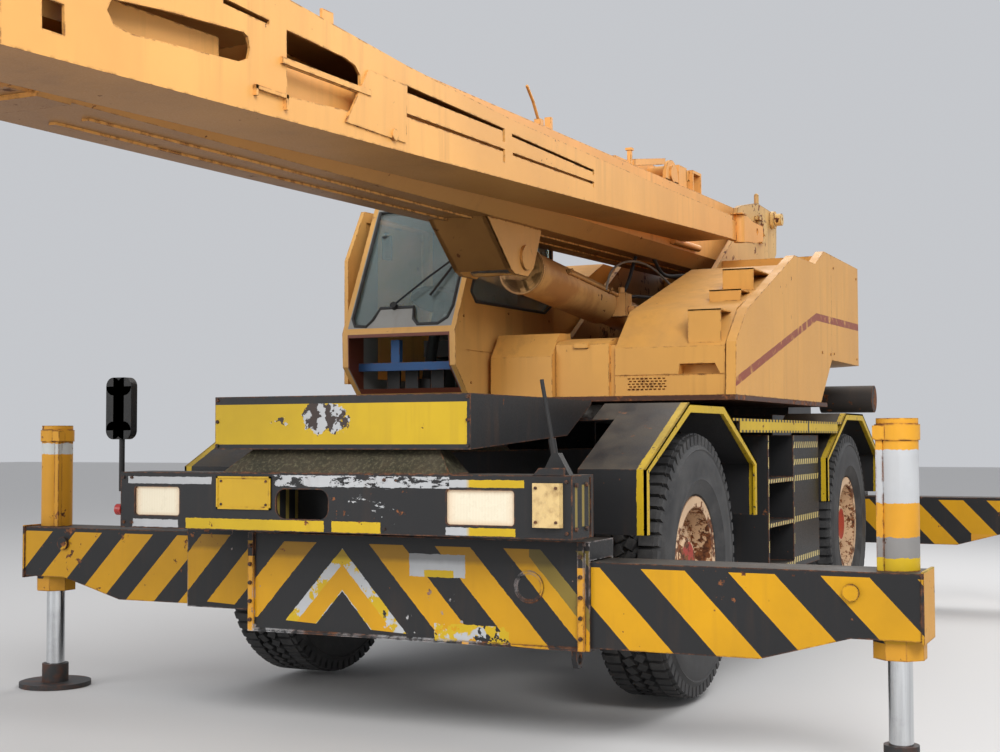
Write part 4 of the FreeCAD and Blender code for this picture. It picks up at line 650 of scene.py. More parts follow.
# What beam_pattern takes for each outrigger arm, and how worn the arm is
ARM_MARKS = {
    "fl": (1.40, 0.39, 0.51, 0.835, FL_BANDS), "fr": (1.41, 0.345, 0.54, 0.895, OTHER_BANDS),
    "rl": (1.41, 0.37, 0.52, 0.895, OTHER_BANDS), "rr": (1.40, 0.38, 0.52, 0.835, OTHER_BANDS)}
FL_WEAR = {"flaking": 0.24, "size": 1.3, "edge": 0.42}
OTHER_WEAR = {"flaking": 0.35, "edge": 0.45}
FINISH = {"boom": painted("boom_paint", BOOM_ORANGE, shade=0.80, flaking=0.22, streaks=0.35, dust=0.12),
          "jib": painted("jib_paint", BOOM_ORANGE, shade=0.70, flaking=0.20, streaks=0.30, dust=0.12),
          "plate": painted("plate_paint", (0.66, 0.40, 0.02), flaking=0.12, edge=0.3, dust=0.2,
                           streaks=0.35),
          "bolts": painted("bolt_paint", COVER_ORANGE, flaking=0.45, edge=0.5),
          "pale_hose": rubber("pale_hose", (0.30, 0.27, 0.22), (0.16, 0.12, 0.08)),
          "seal": rubber("seal_rubber", (0.014, 0.014, 0.015), (0.06, 0.058, 0.055)),
          "sections": painted("section_paint", (0.76, 0.38, 0.11), shade=0.75, flaking=0.30, streaks=0.45,
                              dust=0.2),
          "lift": painted("lift_paint", BOOM_ORANGE, lift_pattern, flaking=0.30, edge=0.5, streaks=0.2,
                          dust=0.25),
          "cover": painted("cover_paint", COVER_ORANGE, cover_pattern, flaking=0.20, streaks=0.30,
                           dust=0.30, shade=0.3),
          "cab": painted("cab_paint", CAB_ORANGE, cab_pattern, flaking=0.18, streaks=0.35, dust=0.25),
          "turret": painted("turret_paint", COVER_ORANGE, turret_pattern, flaking=0.45, edge=0.45,
                            streaks=0.4),
          "black": painted("carrier_paint", CARRIER_BLACK, flaking=0.22, edge=0.42, streaks=0.45, dust=0.55,
                           roughness=0.42),
          "bumper": painted("bumper_paint", CARRIER_BLACK, bumper_pattern, flaking=0.27, edge=0.42,
                            dust=0.5),
          "deck_box": painted("deck_box_paint", CARRIER_BLACK, deck_box_pattern, flaking=0.18, edge=0.42,
                              dust=0.6, streaks=0.4),
          "fender": painted("fender_paint", CARRIER_BLACK, fender_pattern, flaking=0.20, edge=0.3,
                            dust=0.5),
          "deck": painted("deck_paint", CARRIER_BLACK, deck_pattern, flaking=0.22, edge=0.35, dust=0.6),
          "boxes": painted("box_paint", CARRIER_BLACK, box_pattern, flaking=0.30, edge=0.45, dust=0.35),
          "chevron": painted("chevron_paint", CARRIER_BLACK, chevron_pattern, flaking=0.27, edge=0.42,
                             primer=0.8, dust=0.35),
          "inside": painted("cab_inside", (0.03, 0.03, 0.03), inside_pattern, flaking=0.15, dust=0.5,
                            roughness=0.6),
          "plastic": painted("mirror_plastic", (0.022, 0.022, 0.022), flaking=0.10, edge=0.2, dust=0.5,
                             roughness=0.5),
          "hook": painted("hook_paint", STRIPE_YELLOW, hook_pattern, flaking=0.45, edge=0.5),
          "axle": painted("axle_paint", (0.035, 0.030, 0.026), flaking=0.60, edge=0.5, dust=0.6,
                          streaks=0.5, roughness=0.6),
          "muffler": painted("muffler_rust", (0.045, 0.038, 0.034), flaking=0.7, edge=0.5, dust=0.4,
                             roughness=0.7),
          "steel": metal("worked_steel", (0.34, 0.31, 0.28), 0.32, 0.75),
          "rod": metal("rod_chrome", (0.70, 0.71, 0.72), 0.12, 0.30, (0.1, 1.0, 1.0)),
          "jack": jack_metal(),
          "tyre": rubber("tyre_rubber", (0.016, 0.016, 0.017), (0.085, 0.082, 0.080)),
          "glass": pane_glass(),
          "lamp": lit_lamp()}
for wheel, wheel_x in (("fl", 1.94), ("fr", 1.94), ("rl", -1.94), ("rr", -1.94)):
    wear = FL_WEAR if wheel == "fl" else OTHER_WEAR
    FINISH["beam_" + wheel] = painted("beam_%s_paint" % wheel, CARRIER_BLACK, beam_pattern(*ARM_MARKS[wheel]),
                                      dust=0.4, **wear)
    FINISH["rim_" + wheel] = painted("rim_%s_paint" % wheel, RIM_CREAM, rim_pattern(wheel_x), flaking=0.52,
                                     size=1.6, edge=0.6, dust=0.3)

NODE_FINISH = {"boom_base": "boom", "fly_jib": "boom", "boom_section_2": "sections",
               "boom_section_3": "sections", "boom_section_4": "sections", "lift_barrel": "lift",
               "lift_rod": "rod", "counterweight": "cover", "left_housing": "cover",
               "right_housing": "cover", "front_covers": "cover", "cab_shell": "cab", "cab_door": "cab",
               "turret_frame": "turret", "front_bumper": "bumper", "rear_bumper": "bumper",
               "front_deck": "deck_box", "fenders": "fender", "deck_plates": "deck", "side_boxes": "boxes",
               "front_outrigger_box": "chevron", "rear_outrigger_box": "chevron", "cab_interior": "inside",
               "front_mirror": "plastic", "hook_block": "hook", "axles": "axle", "engine": "axle",
               "muffler": "muffler", "carrier_lamps": "lamp", "cab_glass": "glass", "slew_ring": "steel",
               "winch_drum": "steel", "head_sheaves": "steel", "chassis_frame": "black",
               "engine_hood": "black"}


def dress_nodes():
    """Gives every solid of the pack its finish."""
    for name, node in NODES.items():
        kind = NODE_FINISH.get(name)
        if kind is None:
            kinds = {"tyre": "tyre", "jack": "jack", "knuckle": "axle", "beam": name, "rim": name}
            kind = kinds[name.rpartition("_")[0]]
        for slot in node.material_slots:
            slot.material = FINISH[kind]


# Solids in millimetres on the carrier
def vec(x, y, z):
    return Vector((x, y, z))


X_AXIS = vec(1, 0, 0)
Y_AXIS = vec(0, 1, 0)
Z_AXIS = vec(0, 0, 1)


class Solid:
    """Closed meshes that together make one form."""

    def __init__(self, parts):
        self.parts = list(parts)

    def cut(self, other):
        return carve(self, other, "DIFFERENCE")

    def common(self, other):
        return carve(self, other, "INTERSECT")

    def moved(self, matrix):
        parts = []
        for mesh in self.parts:
            copy = mesh.copy()
            copy.transform(matrix)
            if matrix.determinant() < 0:
                copy.flip_normals()
            parts.append(copy)
        return Solid(parts)


def closed_mesh(points, faces):
    """One closed mesh with its faces turned outwards."""
    work = bmesh.new()
    verts = [work.verts.new(point) for point in points]
    for face in faces:
        work.faces.new([verts[i] for i in face])
    bmesh.ops.recalc_face_normals(work, faces=work.faces)
    mesh = bpy.data.meshes.new("form")
    work.to_mesh(mesh)
    work.free()
    return Solid([mesh])


def extruded(outline, along):
    """Prism over an outline of points."""
    count = len(outline)
    points = list(outline) + [point + along for point in outline]
    faces = [tuple(range(count)), tuple(range(2 * count - 1, count - 1, -1))]
    faces += [(i, (i + 1) % count, (i + 1) % count + count, i + count) for i in range(count)]
    return closed_mesh(points, faces)


def box(x0, x1, y0, y1, z0, z1):
    """Box between two corners given as ranges."""
    return extruded([vec(x0, y0, z0), vec(x1, y0, z0), vec(x1, y1, z0), vec(x0, y1, z0)], vec(0, 0, z1 - z0))


def bar(radius, length, start, axis):
    """Round bar from a centre point along an axis."""
    axis = axis.normalized()
    side = axis.orthogonal().normalized()
    across = axis.cross(side)
    count = max(16, min(96, 4 * round(radius / 5)))
    ring = [start + side * radius * math.cos(a) + across * radius * math.sin(a)
            for a in (2 * math.pi * i / count for i in range(count))]
    return extruded(ring, axis * length)


def cyl(x, y, z, axis, radius, length):
    """Cylinder from a centre point along an axis."""
    return bar(radius, length, vec(x, y, z), axis)


def ball(radius, centre):
    """Ball of triangles."""
    work = bmesh.new()
    bmesh.ops.create_icosphere(work, subdivisions=2, radius=radius, matrix=Matrix.Translation(centre))
    mesh = bpy.data.meshes.new("form")
    work.to_mesh(mesh)
    work.free()
    return Solid([mesh])


def prism_y(points, y0, y1):
    """Outline of (x, z) points extruded from y0 to y1."""
    return extruded([vec(x, y0, z) for x, z in points], vec(0, y1 - y0, 0))


def prism_x(points, x0, x1):
    """Outline of (y, z) points extruded from x0 to x1."""
    return extruded([vec(x0, y, z) for y, z in points], vec(x1 - x0, 0, 0))


def prism_z(points, z0, z1):
    """Outline of (x, y) points extruded from z0 to z1."""
    return extruded([vec(x, y, z0) for x, y in points], vec(0, 0, z1 - z0))


def revolve_y(points, x, z, count=96):
    """Closed outline of (radius, y) points turned about the line through (x, z) along Y."""
    rings = []
    for i in range(count):
        a = 2 * math.pi * i / count
        rings += [vec(x + r * math.cos(a), y, z + r * math.sin(a)) for r, y in points]
    n = len(points)
    faces = []
    for i in range(count):
        j = (i + 1) % count
        faces += [(i * n + k, i * n + (k + 1) % n, j * n + (k + 1) % n, j * n + k) for k in range(n)]
    return closed_mesh(rings, faces)


def pipe(points, radius, count=10):
    """Round tube along a line of points, closed at both ends."""
    points = [Vector(p) for p in points]
    rings, faces = [], []
    side = (points[1] - points[0]).orthogonal().normalized()
    for i, point in enumerate(points):
        before = points[max(i - 1, 0)]
        after = points[min(i + 1, len(points) - 1)]
        along = (after - before).normalized()
        side = (side - along * side.dot(along)).normalized()
        across = along.cross(side)
        rings += [point + side * radius * math.cos(a) + across * radius * math.sin(a)
                  for a in (2 * math.pi * k / count for k in range(count))]
    for i in range(len(points) - 1):
        faces += [(i * count + k, i * count + (k + 1) % count, (i + 1) * count + (k + 1) % count,
                   (i + 1) * count + k) for k in range(count)]
    last = (len(points) - 1) * count
    faces += [tuple(range(count)), tuple(range(last, last + count))]
    return closed_mesh(rings, faces)


def extent(mesh):
    """Low and high coordinate of a mesh on each axis."""
    places = [vertex.co for vertex in mesh.vertices]
    return [(min(p[i] for p in places), max(p[i] for p in places)) for i in range(3)]


def carve(solid, tool, operation):
    """Cuts the tool out of each mesh, or keeps what they share."""
    kept = []
    for mesh in solid.parts:
        for cutter in tool.parts:
            near = all(a[0] < b[1] and b[0] < a[1] for a, b in zip(extent(mesh), extent(cutter)))
            if near or operation == "INTERSECT":
                mesh = boolean(mesh, cutter, operation)
            if not mesh.polygons:
                break
        if mesh.polygons:
            kept.append(mesh)
    return Solid(kept)


def evaluated_mesh(thing):
    """The object's mesh with its modifiers done, as a mesh of its own."""
    bpy.context.view_layer.update()
    depsgraph = bpy.context.evaluated_depsgraph_get()
    return bpy.data.meshes.new_from_object(thing.evaluated_get(depsgraph), depsgraph=depsgraph)


def boolean(mesh, cutter, operation):
    """One mesh cut by another, or what the two share."""
    holder = shown("form", mesh)
    tool = shown("tool", cutter)
    modifier = holder.modifiers.new("carve", "BOOLEAN")
    modifier.object = tool
    modifier.operation = operation
    modifier.solver = "EXACT"
    result = evaluated_mesh(holder)
    for thing in (holder, tool):
        bpy.data.objects.remove(thing)
    return result


def fuse(shapes):
    """Forms that belong together."""
    return Solid(mesh for shape in shapes for mesh in shape.parts)


def mirror_y(shape):
    """Mirror image across the centre plane."""
    return shape.moved(Matrix.Scale(-1, 4, Y_AXIS))


def both_sides(shape):
    """The shape and its mirror image across the centre plane."""
    return [shape, mirror_y(shape)]


def at_pivot(shape, drop):
    """Place a shape that is modelled level at the boom's foot: lower its front by some degrees."""
    turn = Matrix.Rotation(math.radians(drop), 4, "Y")
    return shape.moved(Matrix.Translation(vec(PIVOT_X, 0, PIVOT_Z)) @ turn)


def finished_mesh(name, solid, material):
    """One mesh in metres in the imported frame, smooth where its faces bend little."""
    work = bmesh.new()
    for part in solid.parts:
        work.from_mesh(part)
    mesh = bpy.data.meshes.new(name)
    work.to_mesh(mesh)
    work.free()
    mesh.transform(Matrix.Translation((-SHIFT, 0, 0)) @ Matrix.Scale(0.001, 4))
    mesh.materials.clear()
    mesh.materials.append(material)
    for polygon in mesh.polygons:
        polygon.use_smooth = True
        polygon.material_index = 0
    mesh.set_sharp_from_angle(angle=math.radians(32))
    return mesh


def piece(name, solid, material, body, slot, *nodes):
    """Finished piece on its body, standing for the nodes it replaces."""
    thing = shown(name, finished_mesh(name, solid, material))
    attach(thing, body)
    if nodes:
        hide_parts(*nodes)


# Rows of nuts, bolts and tread blocks
def stud_tree():
    """Stands a short tapered block or nut on every point, turned the way the point says."""
    tree = bpy.data.node_groups.new("stud_rows", "GeometryNodeTree")
    sockets = tree.interface
    sockets.new_socket("Geometry", in_out="INPUT", socket_type="NodeSocketGeometry")
    for label, kind in (("Sides", "NodeSocketInt"), ("Foot", "NodeSocketFloat"), ("Top", "NodeSocketFloat"),
                        ("Height", "NodeSocketFloat"), ("Turn", "NodeSocketFloat"),
                        ("Material", "NodeSocketMaterial")):
        sockets.new_socket(label, in_out="INPUT", socket_type=kind)
    sockets.new_socket("Geometry", in_out="OUTPUT", socket_type="NodeSocketGeometry")
    n = Nodes(tree)
    start = n.add("NodeGroupInput").outputs
    stud = n.add("GeometryNodeMeshCone",
                 {"Vertices": start["Sides"], "Radius Top": start["Top"], "Radius Bottom": start["Foot"],
                  "Depth": start["Height"]}).outputs[0]
    spin = n.add("ShaderNodeCombineXYZ", {2: start["Turn"]}).outputs[0]
    stud = n.add("GeometryNodeTransform", {"Geometry": stud, "Rotation": spin}).outputs[0]
    facts = {}
    for name in ("out", "along", "size"):
        fact = n.add("GeometryNodeInputNamedAttribute", {"Name": name}, data_type="FLOAT_VECTOR")
        facts[name] = fact.outputs[0]
    stand = n.add("FunctionNodeAlignRotationToVector", {"Vector": facts["out"]}, axis="Z").outputs[0]
    stand = n.add("FunctionNodeAlignRotationToVector", {"Rotation": stand, "Vector": facts["along"]},
                  axis="X", pivot_axis="Z").outputs[0]
    values = {"Points": start["Geometry"], "Instance": stud, "Rotation": stand, "Scale": facts["size"]}
    rows = n.add("GeometryNodeInstanceOnPoints", values).outputs[0]
    real = n.add("GeometryNodeRealizeInstances", {0: rows}).outputs[0]
    values = {"Geometry": real, "Material": start["Material"]}
    n.add("NodeGroupOutput", {0: n.add("GeometryNodeSetMaterial", values).outputs[0]})
    return tree


STUD_TREE = stud_tree()


def studs(name, rows, material, body, sides=6, foot=1.0, top=0.9, height=1.0, turn=0.0):
    """Piece of many studs. Each row gives place and size in millimetres, and two directions."""
    mesh = bpy.data.meshes.new(name)
    mesh.from_pydata([Vector(row[0]) / 1000 - Vector((SHIFT, 0, 0)) for row in rows], [], [])
    for index, label in ((1, "out"), (2, "along"), (3, "size")):
        layer = mesh.attributes.new(label, "FLOAT_VECTOR", "POINT")
        for i, row in enumerate(rows):
            layer.data[i].vector = Vector(row[index]) / (1000 if label == "size" else 1)
    thing = shown(name, mesh)
    modifier = thing.modifiers.new("studs", "NODES")
    modifier.node_group = STUD_TREE
    values = {"Sides": sides, "Foot": foot, "Top": top, "Height": height, "Turn": turn, "Material": material}
    for socket in STUD_TREE.interface.items_tree:
        if socket.name in values:
            modifier[socket.identifier] = values[socket.name]
    result = evaluated_mesh(thing)
    thing.modifiers.clear()
    thing.data = result
    result.name = name
    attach(thing, body)


# Sizes in millimetres
WHEELBASE = 3880.0
WHEEL_LIFT = 25.0
TYRE_D = 1380.0
TYRE_W = 385.0
TYRE_OUTER_Y = 1275.0
WHEEL_MIDDLE = TYRE_OUTER_Y - TYRE_W / 2
TREAD_BLOCKS = 64
PIN_GAP = 0.3
RAIL_IN_Y = 310.0
RAIL_TOP = 1320.0
TURRET_Z = 1600.0
DECK_TOP = 1490.0
DECK_T = 15.0
DECK_HALF_W = 850.0
DECK_FRONT_X = WHEELBASE / 2 + 90.0
BEAM_W = 262.0
BEAM_H = 378.0
BEAM_WALL = 14.0
BEAM_BOTTOM = 457.0
BEAM_RISE = 60.0
BEAM_GAP = 6.0
SEAT_GAP = 0.3
BOX_WALL = 12.0
BEAM_CLEAR = 149.0
BEAM_X = WHEELBASE / 2 + TYRE_D / 2 + BEAM_CLEAR + BEAM_W / 2
BEAM_PITCH = BEAM_W + 2 * BEAM_GAP + BOX_WALL
FRAME_FRONT_X = BEAM_X + BEAM_PITCH + BEAM_W / 2 + BEAM_GAP
BUMPER_HALF_W = 1205.0
BOX_MOUTH_IN = 15.0
BOX_MOUTH_Y = BUMPER_HALF_W - BOX_MOUTH_IN
BOX_BACK_Y = 600.0
BOX_TOP = 925.0
BEAM_REACH = 2496.0
BEAM_REACH_FR = 2210.0
BEAM_TAIL = 1910.0
BEAM_NOSE = 108.0
BEAM_TAPER_START = 555.0
BEAM_TAPER_RISE = 105.0
JACK_TUBE_R = 85.0
JACK_TUBE_TOP = 1460.0
JACK_ROD_R = 50.0
PIPE_OFFSET = 62.0
COLLAR_R = 110.0
COLLAR_DROP = 85.0
TOW_X = FRAME_FRONT_X - 33.0
TOW_Y = 1100.0
TOW_Z = 402.0
TOW_T = 25.0
TOW_R = 22.0
FENDER_OUT_Y = 1310.0
FENDER_T = 12.0
FENDER_LIP = 50.0
FENDER_TOP = 1560.0
FENDER_TOP_HALF = 310.0
FENDER_KNEE = 990.0
FENDER_KNEE_Z = 1235.0
FENDER_LEG_Z = 930.0
BUMPER_FRONT_X = FRAME_FRONT_X + 247.0
BUMPER_DEPTH = 200.0
BUMPER_BOTTOM = 948.0
BUMPER_TOP = 1222.0
BUMPER_T = 12.0
DECKBOX_FRONT_X = FRAME_FRONT_X + 177.0
DECKBOX_REAR_X = DECK_FRONT_X
DECKBOX_HALF_W = 690.0
DECKBOX_TOP = 1585.0
DECKBOX_BOTTOM = 1332.0
DECKBOX_BOTTOM_REAR = 1395.0
DECKBOX_UNDER_X = 2372.0
HOOD_BACK_X = 2700.0
TURRET_FRONT_X = 1200.0
CAB_SHELF_X = 1420.0
TURRET_HALF_W = 1250.0
TURRET_REAR_X = -1250.0
BASE_T = 30.0
CHEEK_Y = 380.0
CHEEK_T = 40.0
COUNTERWEIGHT_FRONT_X = -1430.0
COUNTERWEIGHT_SIDE_X = -2430.0
COUNTERWEIGHT_BOTTOM = 1950.0
COUNTERWEIGHT_TOP = 2730.0
COVER_FLANGE = 60.0
COVER_T = 12.0
HOUSING_FRONT_X = 1150.0
STEP_BOX_Y = 500.0
STEP_BOX_TOP = 1918.0
VENT_SEAM_Z = 1752.0
SLOPE_BREAK_X = 880.0
SLOPE_BREAK_Z = 2158.0
SLOPE_TOP_X = -390.0
SLOPE_TOP_Z = 2552.0
STEP_T = 8.0
STEP_Y = (950.0, 1150.0)
HOUSING_REAR_X = -1180.0
PIVOT_X = -2550.0
PIVOT_Z = 3120.0
PIVOT_R = 60.0
BOOM_DROP_DEG = 1.35
# Slope of the line along which the sections slide, and the head's lower pin on it
SLIDE_DROP_DEG = 2.35
HEAD_PIN = (9330.0, -540.0)
# Start, end, half width, low and high face of the sliding sections on that line
SECOND_SECTION = (420, 8560, 252, -270, 148)
THIRD_SECTION = (480, 8800, 224, -240, 136)
HEAD_SECTION = (540, 9040, 196, -210, 124)
# Half width, low and high face of the room for the second section in the base's collar
COLLAR_ROOM = (252.0, -414.0, 4.0)
BOOM_HALF_W = 280.0
BOOM_LOW = -420.0
BOOM_HIGH = 155.0
BOOM_BEND_Y = 70.0
BOOM_BEND_W = 100.0
BOOM_FOOT = -230.0
BOOM_END = 8300.0
HOLLOW_START = 360.0
BOOM_TOP_Y = 200.0
BOOM_WALL = 10.0
COLLAR_LIP = 12.0
JIB_IN_Y = 330.0
JIB_OUT_Y = 690.0
JIB_T = 10.0
FOOT_X = -1150.0
FOOT_Z = 2191.0
EYE_X = 1740.0
EYE_Z = 2415.0
BARREL_R = 112.0
BARREL_BORE_R = 95.0
SLEEVE_R = 135.0
SLEEVE_LENGTH = 1280.0
BARREL_START = 120.0
BARREL_SHORT_OF_EYE = 340.0
GLAND_LENGTH = 60.0
ROD_R = 62.0
LUG_Y = 150.0
LUG_T = 25.0
FOOT_LUG_Y = 150.0
CAB_LEFT_Y = -340.0
CAB_RIGHT_Y = -1120.0
CAB_T = 40.0
CAB_REAR_X = 100.0
CAB_FLOOR_Z = 1645.0
SCREEN_LOW = (1613.0, 2030.0)
SCREEN_HIGH = (1210.0, 2860.0)
DOOR_HINGE_X = 430.0
DOOR_FRONT_X = 1330.0
DOOR_BOTTOM = 1730.0
DOOR_TOP = 2860.0
DOOR_T = 30.0
HINGE_PIN_R = 8.0
HINGE_Z = (1900.0, 2650.0)
AXLE_Z = WHEEL_LIFT + TYRE_D / 2
CORNERS = (("fl", 1, 1), ("fr", 1, -1), ("rl", -1, 1), ("rr", -1, -1))


def fender_half_at(z):
    """Half width of the fender's arch at a height on its slanted part."""
    slope = (FENDER_KNEE - FENDER_TOP_HALF) / (FENDER_TOP - FENDER_KNEE_Z)
    return FENDER_TOP_HALF + (FENDER_TOP - z) * slope


def fender(x):
    """Angular fender of bent plate, with a valance down to the deck on its inner side."""
    outer = [(-FENDER_KNEE, FENDER_LEG_Z), (-FENDER_KNEE, FENDER_KNEE_Z), (-FENDER_TOP_HALF, FENDER_TOP),
             (FENDER_TOP_HALF, FENDER_TOP), (FENDER_KNEE, FENDER_KNEE_Z), (FENDER_KNEE, FENDER_LEG_Z)]
    shift = FENDER_T * 0.62
    inner = [(FENDER_KNEE - FENDER_T, FENDER_LEG_Z), (FENDER_KNEE - FENDER_T, FENDER_KNEE_Z - shift),
             (FENDER_TOP_HALF - 3, FENDER_TOP - FENDER_T), (-FENDER_TOP_HALF + 3, FENDER_TOP - FENDER_T),
             (-FENDER_KNEE + FENDER_T, FENDER_KNEE_Z - shift), (-FENDER_KNEE + FENDER_T, FENDER_LEG_Z)]
    plate = prism_y([(x + dx, z) for dx, z in outer + inner], DECK_HALF_W + 120, FENDER_OUT_Y)
    low = DECK_TOP - DECK_T
    half = fender_half_at(low)
    top = prism_y([(x - FENDER_TOP_HALF, FENDER_TOP), (x - half, low), (x - half + 30, low),
                   (x - FENDER_TOP_HALF + 3, FENDER_TOP - FENDER_T),
                   (x + FENDER_TOP_HALF - 3, FENDER_TOP - FENDER_T), (x + half - 30, low),
                   (x + half, low), (x + FENDER_TOP_HALF, FENDER_TOP)], DECK_HALF_W, DECK_HALF_W + 120)
    valance = prism_y([(x - half + 30, low), (x - FENDER_TOP_HALF, FENDER_TOP - FENDER_T),
                       (x + FENDER_TOP_HALF, FENDER_TOP - FENDER_T), (x + half - 30, low)],
                      DECK_HALF_W, DECK_HALF_W + 12)
    drop = FENDER_LIP
    lip_inner = [(FENDER_KNEE - drop, FENDER_LEG_Z), (FENDER_KNEE - drop, FENDER_KNEE_Z - drop * 0.3),
                 (FENDER_TOP_HALF - drop * 0.3, FENDER_TOP - drop)]
    lip_inner += [(-dx, z) for dx, z in reversed(lip_inner)]
    lip = prism_y([(x + dx, z) for dx, z in outer + lip_inner], FENDER_OUT_Y - FENDER_T, FENDER_OUT_Y)
    return fuse([plate, top, valance, lip])


def fenders():
    """The four fenders."""
    return fuse(half for x in (WHEELBASE / 2, -WHEELBASE / 2) for half in both_sides(fender(x)))


def channel(x, bottom, side):
    """One outrigger channel: a box tube open at its mouth and at its back end."""
    w = BEAM_W / 2 + BEAM_GAP
    low = bottom - SEAT_GAP
    high = bottom + BEAM_H + BEAM_GAP
    y0, y1 = sorted((-side * BOX_BACK_Y, side * BOX_MOUTH_Y))
    outer = box(x - w - BOX_WALL, x + w + BOX_WALL, y0, y1, low - BOX_WALL, BOX_TOP)
    inner = box(x - w, x + w, y0 - 10, y1 + 10, low, high)
    return outer, inner


def front_outrigger_box():
    """Two channels side by side under the frame, each open at its own end, with a flanged front plate."""
    back, back_space = channel(BEAM_X, BEAM_BOTTOM + BEAM_RISE, -1)
    front, front_space = channel(BEAM_X + BEAM_PITCH, BEAM_BOTTOM, 1)
    bottom = BEAM_BOTTOM - SEAT_GAP - BOX_WALL
    tow = prism_y([(TOW_X - 38, bottom), (TOW_X - 38, TOW_Z), (TOW_X - 20, TOW_Z - 38),
                   (TOW_X + 20, TOW_Z - 38), (TOW_X + 38, TOW_Z), (TOW_X + 38, bottom)], TOW_Y,
                  TOW_Y + TOW_T)
    tow = tow.cut(cyl(TOW_X, TOW_Y - 5, TOW_Z, Y_AXIS, TOW_R, TOW_T + 10))
    face_x = FRAME_FRONT_X + BOX_WALL
    flanges = [box(face_x - 2, face_x + 16, y, y + 30, bottom, BOX_TOP)
               for y in (-BOX_BACK_Y, BOX_MOUTH_Y - 52)]
    lip = box(face_x - 2, face_x + 10, -BOX_BACK_Y, BOX_MOUTH_Y - 52, bottom, bottom + 12)
    ring = cyl(face_x - 2, 900, 717, X_AXIS, 70, 8).cut(cyl(face_x - 5, 900, 717, X_AXIS, 60, 20))
    box_body = fuse([back, front, tow, lip, ring] + flanges)
    return box_body.cut(back_space).cut(front_space)


def beam_place(name, sx, sy):
    """Centre X, bottom and reach of a beam. Left front and right rear run in the outer channel."""
    outer = sx * sy > 0
    x = BEAM_X + (BEAM_PITCH if outer else 0)
    bottom = BEAM_BOTTOM + (0 if outer else BEAM_RISE)
    reach = BEAM_REACH_FR if name == "fr" else BEAM_REACH
    return sx * x, bottom, reach


def outrigger_beam(name, sx, sy):
    """Hollow beam with a tapered nose, the jack tube through its end, its end plate and a collar below."""
    x, bottom, reach = beam_place(name, sx, sy)
    half = BEAM_W / 2
    nose = reach + BEAM_NOSE
    taper = reach - BEAM_TAPER_START
    top = bottom + BEAM_H
    flat = reach - 175
    outline = [(reach - BEAM_TAIL, bottom), (taper, bottom), (flat, bottom + BEAM_TAPER_RISE),
               (nose, bottom + BEAM_TAPER_RISE), (nose, top), (reach - BEAM_TAIL, top)]
    wall = BEAM_WALL
    inner = [(reach - BEAM_TAIL - 10, bottom + wall), (taper - 4, bottom + wall),
             (flat - 4, bottom + BEAM_TAPER_RISE + wall), (reach - 130, bottom + BEAM_TAPER_RISE + wall),
             (reach - 130, top - wall), (reach - BEAM_TAIL - 10, top - wall)]
    beam = prism_x([(sy * y, z) for y, z in outline], x - half, x + half)
    beam = beam.cut(prism_x([(sy * y, z) for y, z in inner], x - half + wall, x + half - wall))
    tube_low = bottom + BEAM_TAPER_RISE - COLLAR_DROP
    tube = cyl(x, sy * reach, tube_low, Z_AXIS, JACK_TUBE_R, JACK_TUBE_TOP - tube_low)
    collar_points = []
    for i in range(8):
        a = math.pi / 8 + i * math.pi / 4
        collar_points.append((x + COLLAR_R * math.cos(a), sy * reach + COLLAR_R * math.sin(a)))
    collar = prism_z(collar_points, tube_low, bottom + BEAM_TAPER_RISE)
    y0, y1 = sorted((sy * nose, sy * (nose + 12)))
    end_plate = box(x - half - 8, x + half + 8, y0, y1, bottom + BEAM_TAPER_RISE - 10, top + 8)
    face = sx * half
    boss = cyl(x + face, sy * (reach - 170), bottom + 292, vec(sx, 0, 0), 34, 18)
    band = cyl(x, sy * reach, JACK_TUBE_TOP - 90, Z_AXIS, JACK_TUBE_R + 7, 65)
    # Pipe guard beside the tube, on its side towards the machine's end and middle
    gx, gy = x + sx * PIPE_OFFSET, sy * (reach - PIPE_OFFSET)
    pipe_guard = box(gx - 14, gx + 14, gy - 14, gy + 14, top - 2, JACK_TUBE_TOP - 60)
    fitting = box(gx - 24, gx + 24, gy - 24, gy + 24, JACK_TUBE_TOP - 88, JACK_TUBE_TOP - 30)
    body = fuse([beam, tube, collar, end_plate, boss, band, pipe_guard, fitting])
    bore = cyl(x, sy * reach, tube_low - 10, Z_AXIS, JACK_ROD_R + 10, JACK_TUBE_TOP - 20 - tube_low + 10)
    body = body.cut(bore)
    gland = cyl(x, sy * reach, tube_low, Z_AXIS, JACK_ROD_R + 12, 40)
    gland = gland.cut(cyl(x, sy * reach, tube_low - 5, Z_AXIS, JACK_ROD_R + PIN_GAP, 60))
    return fuse([body, gland])


def bumper_openings():
    """Right lamp, left lamp and hole in the front plate: low Y, high Y, low Z, high Z."""
    half, low = BUMPER_HALF_W, BUMPER_BOTTOM
    return ((88 - half, 356 - half, low + 64, low + 202), (half - 602, half - 272, low + 54, low + 206),
            (-292, -7, low + 61, low + 199))


def rounded_block(x0, x1, y0, y1, z0, z1, r):
    """Block whose four edges along X are rounded."""
    blocks = [box(x0, x1, y0 + r, y1 - r, z0, z1), box(x0, x1, y0, y1, z0 + r, z1 - r)]
    blocks += [cyl(x0, y, z, X_AXIS, r, x1 - x0) for y in (y0 + r, y1 - r) for z in (z0 + r, z1 - r)]
    return fuse(blocks)


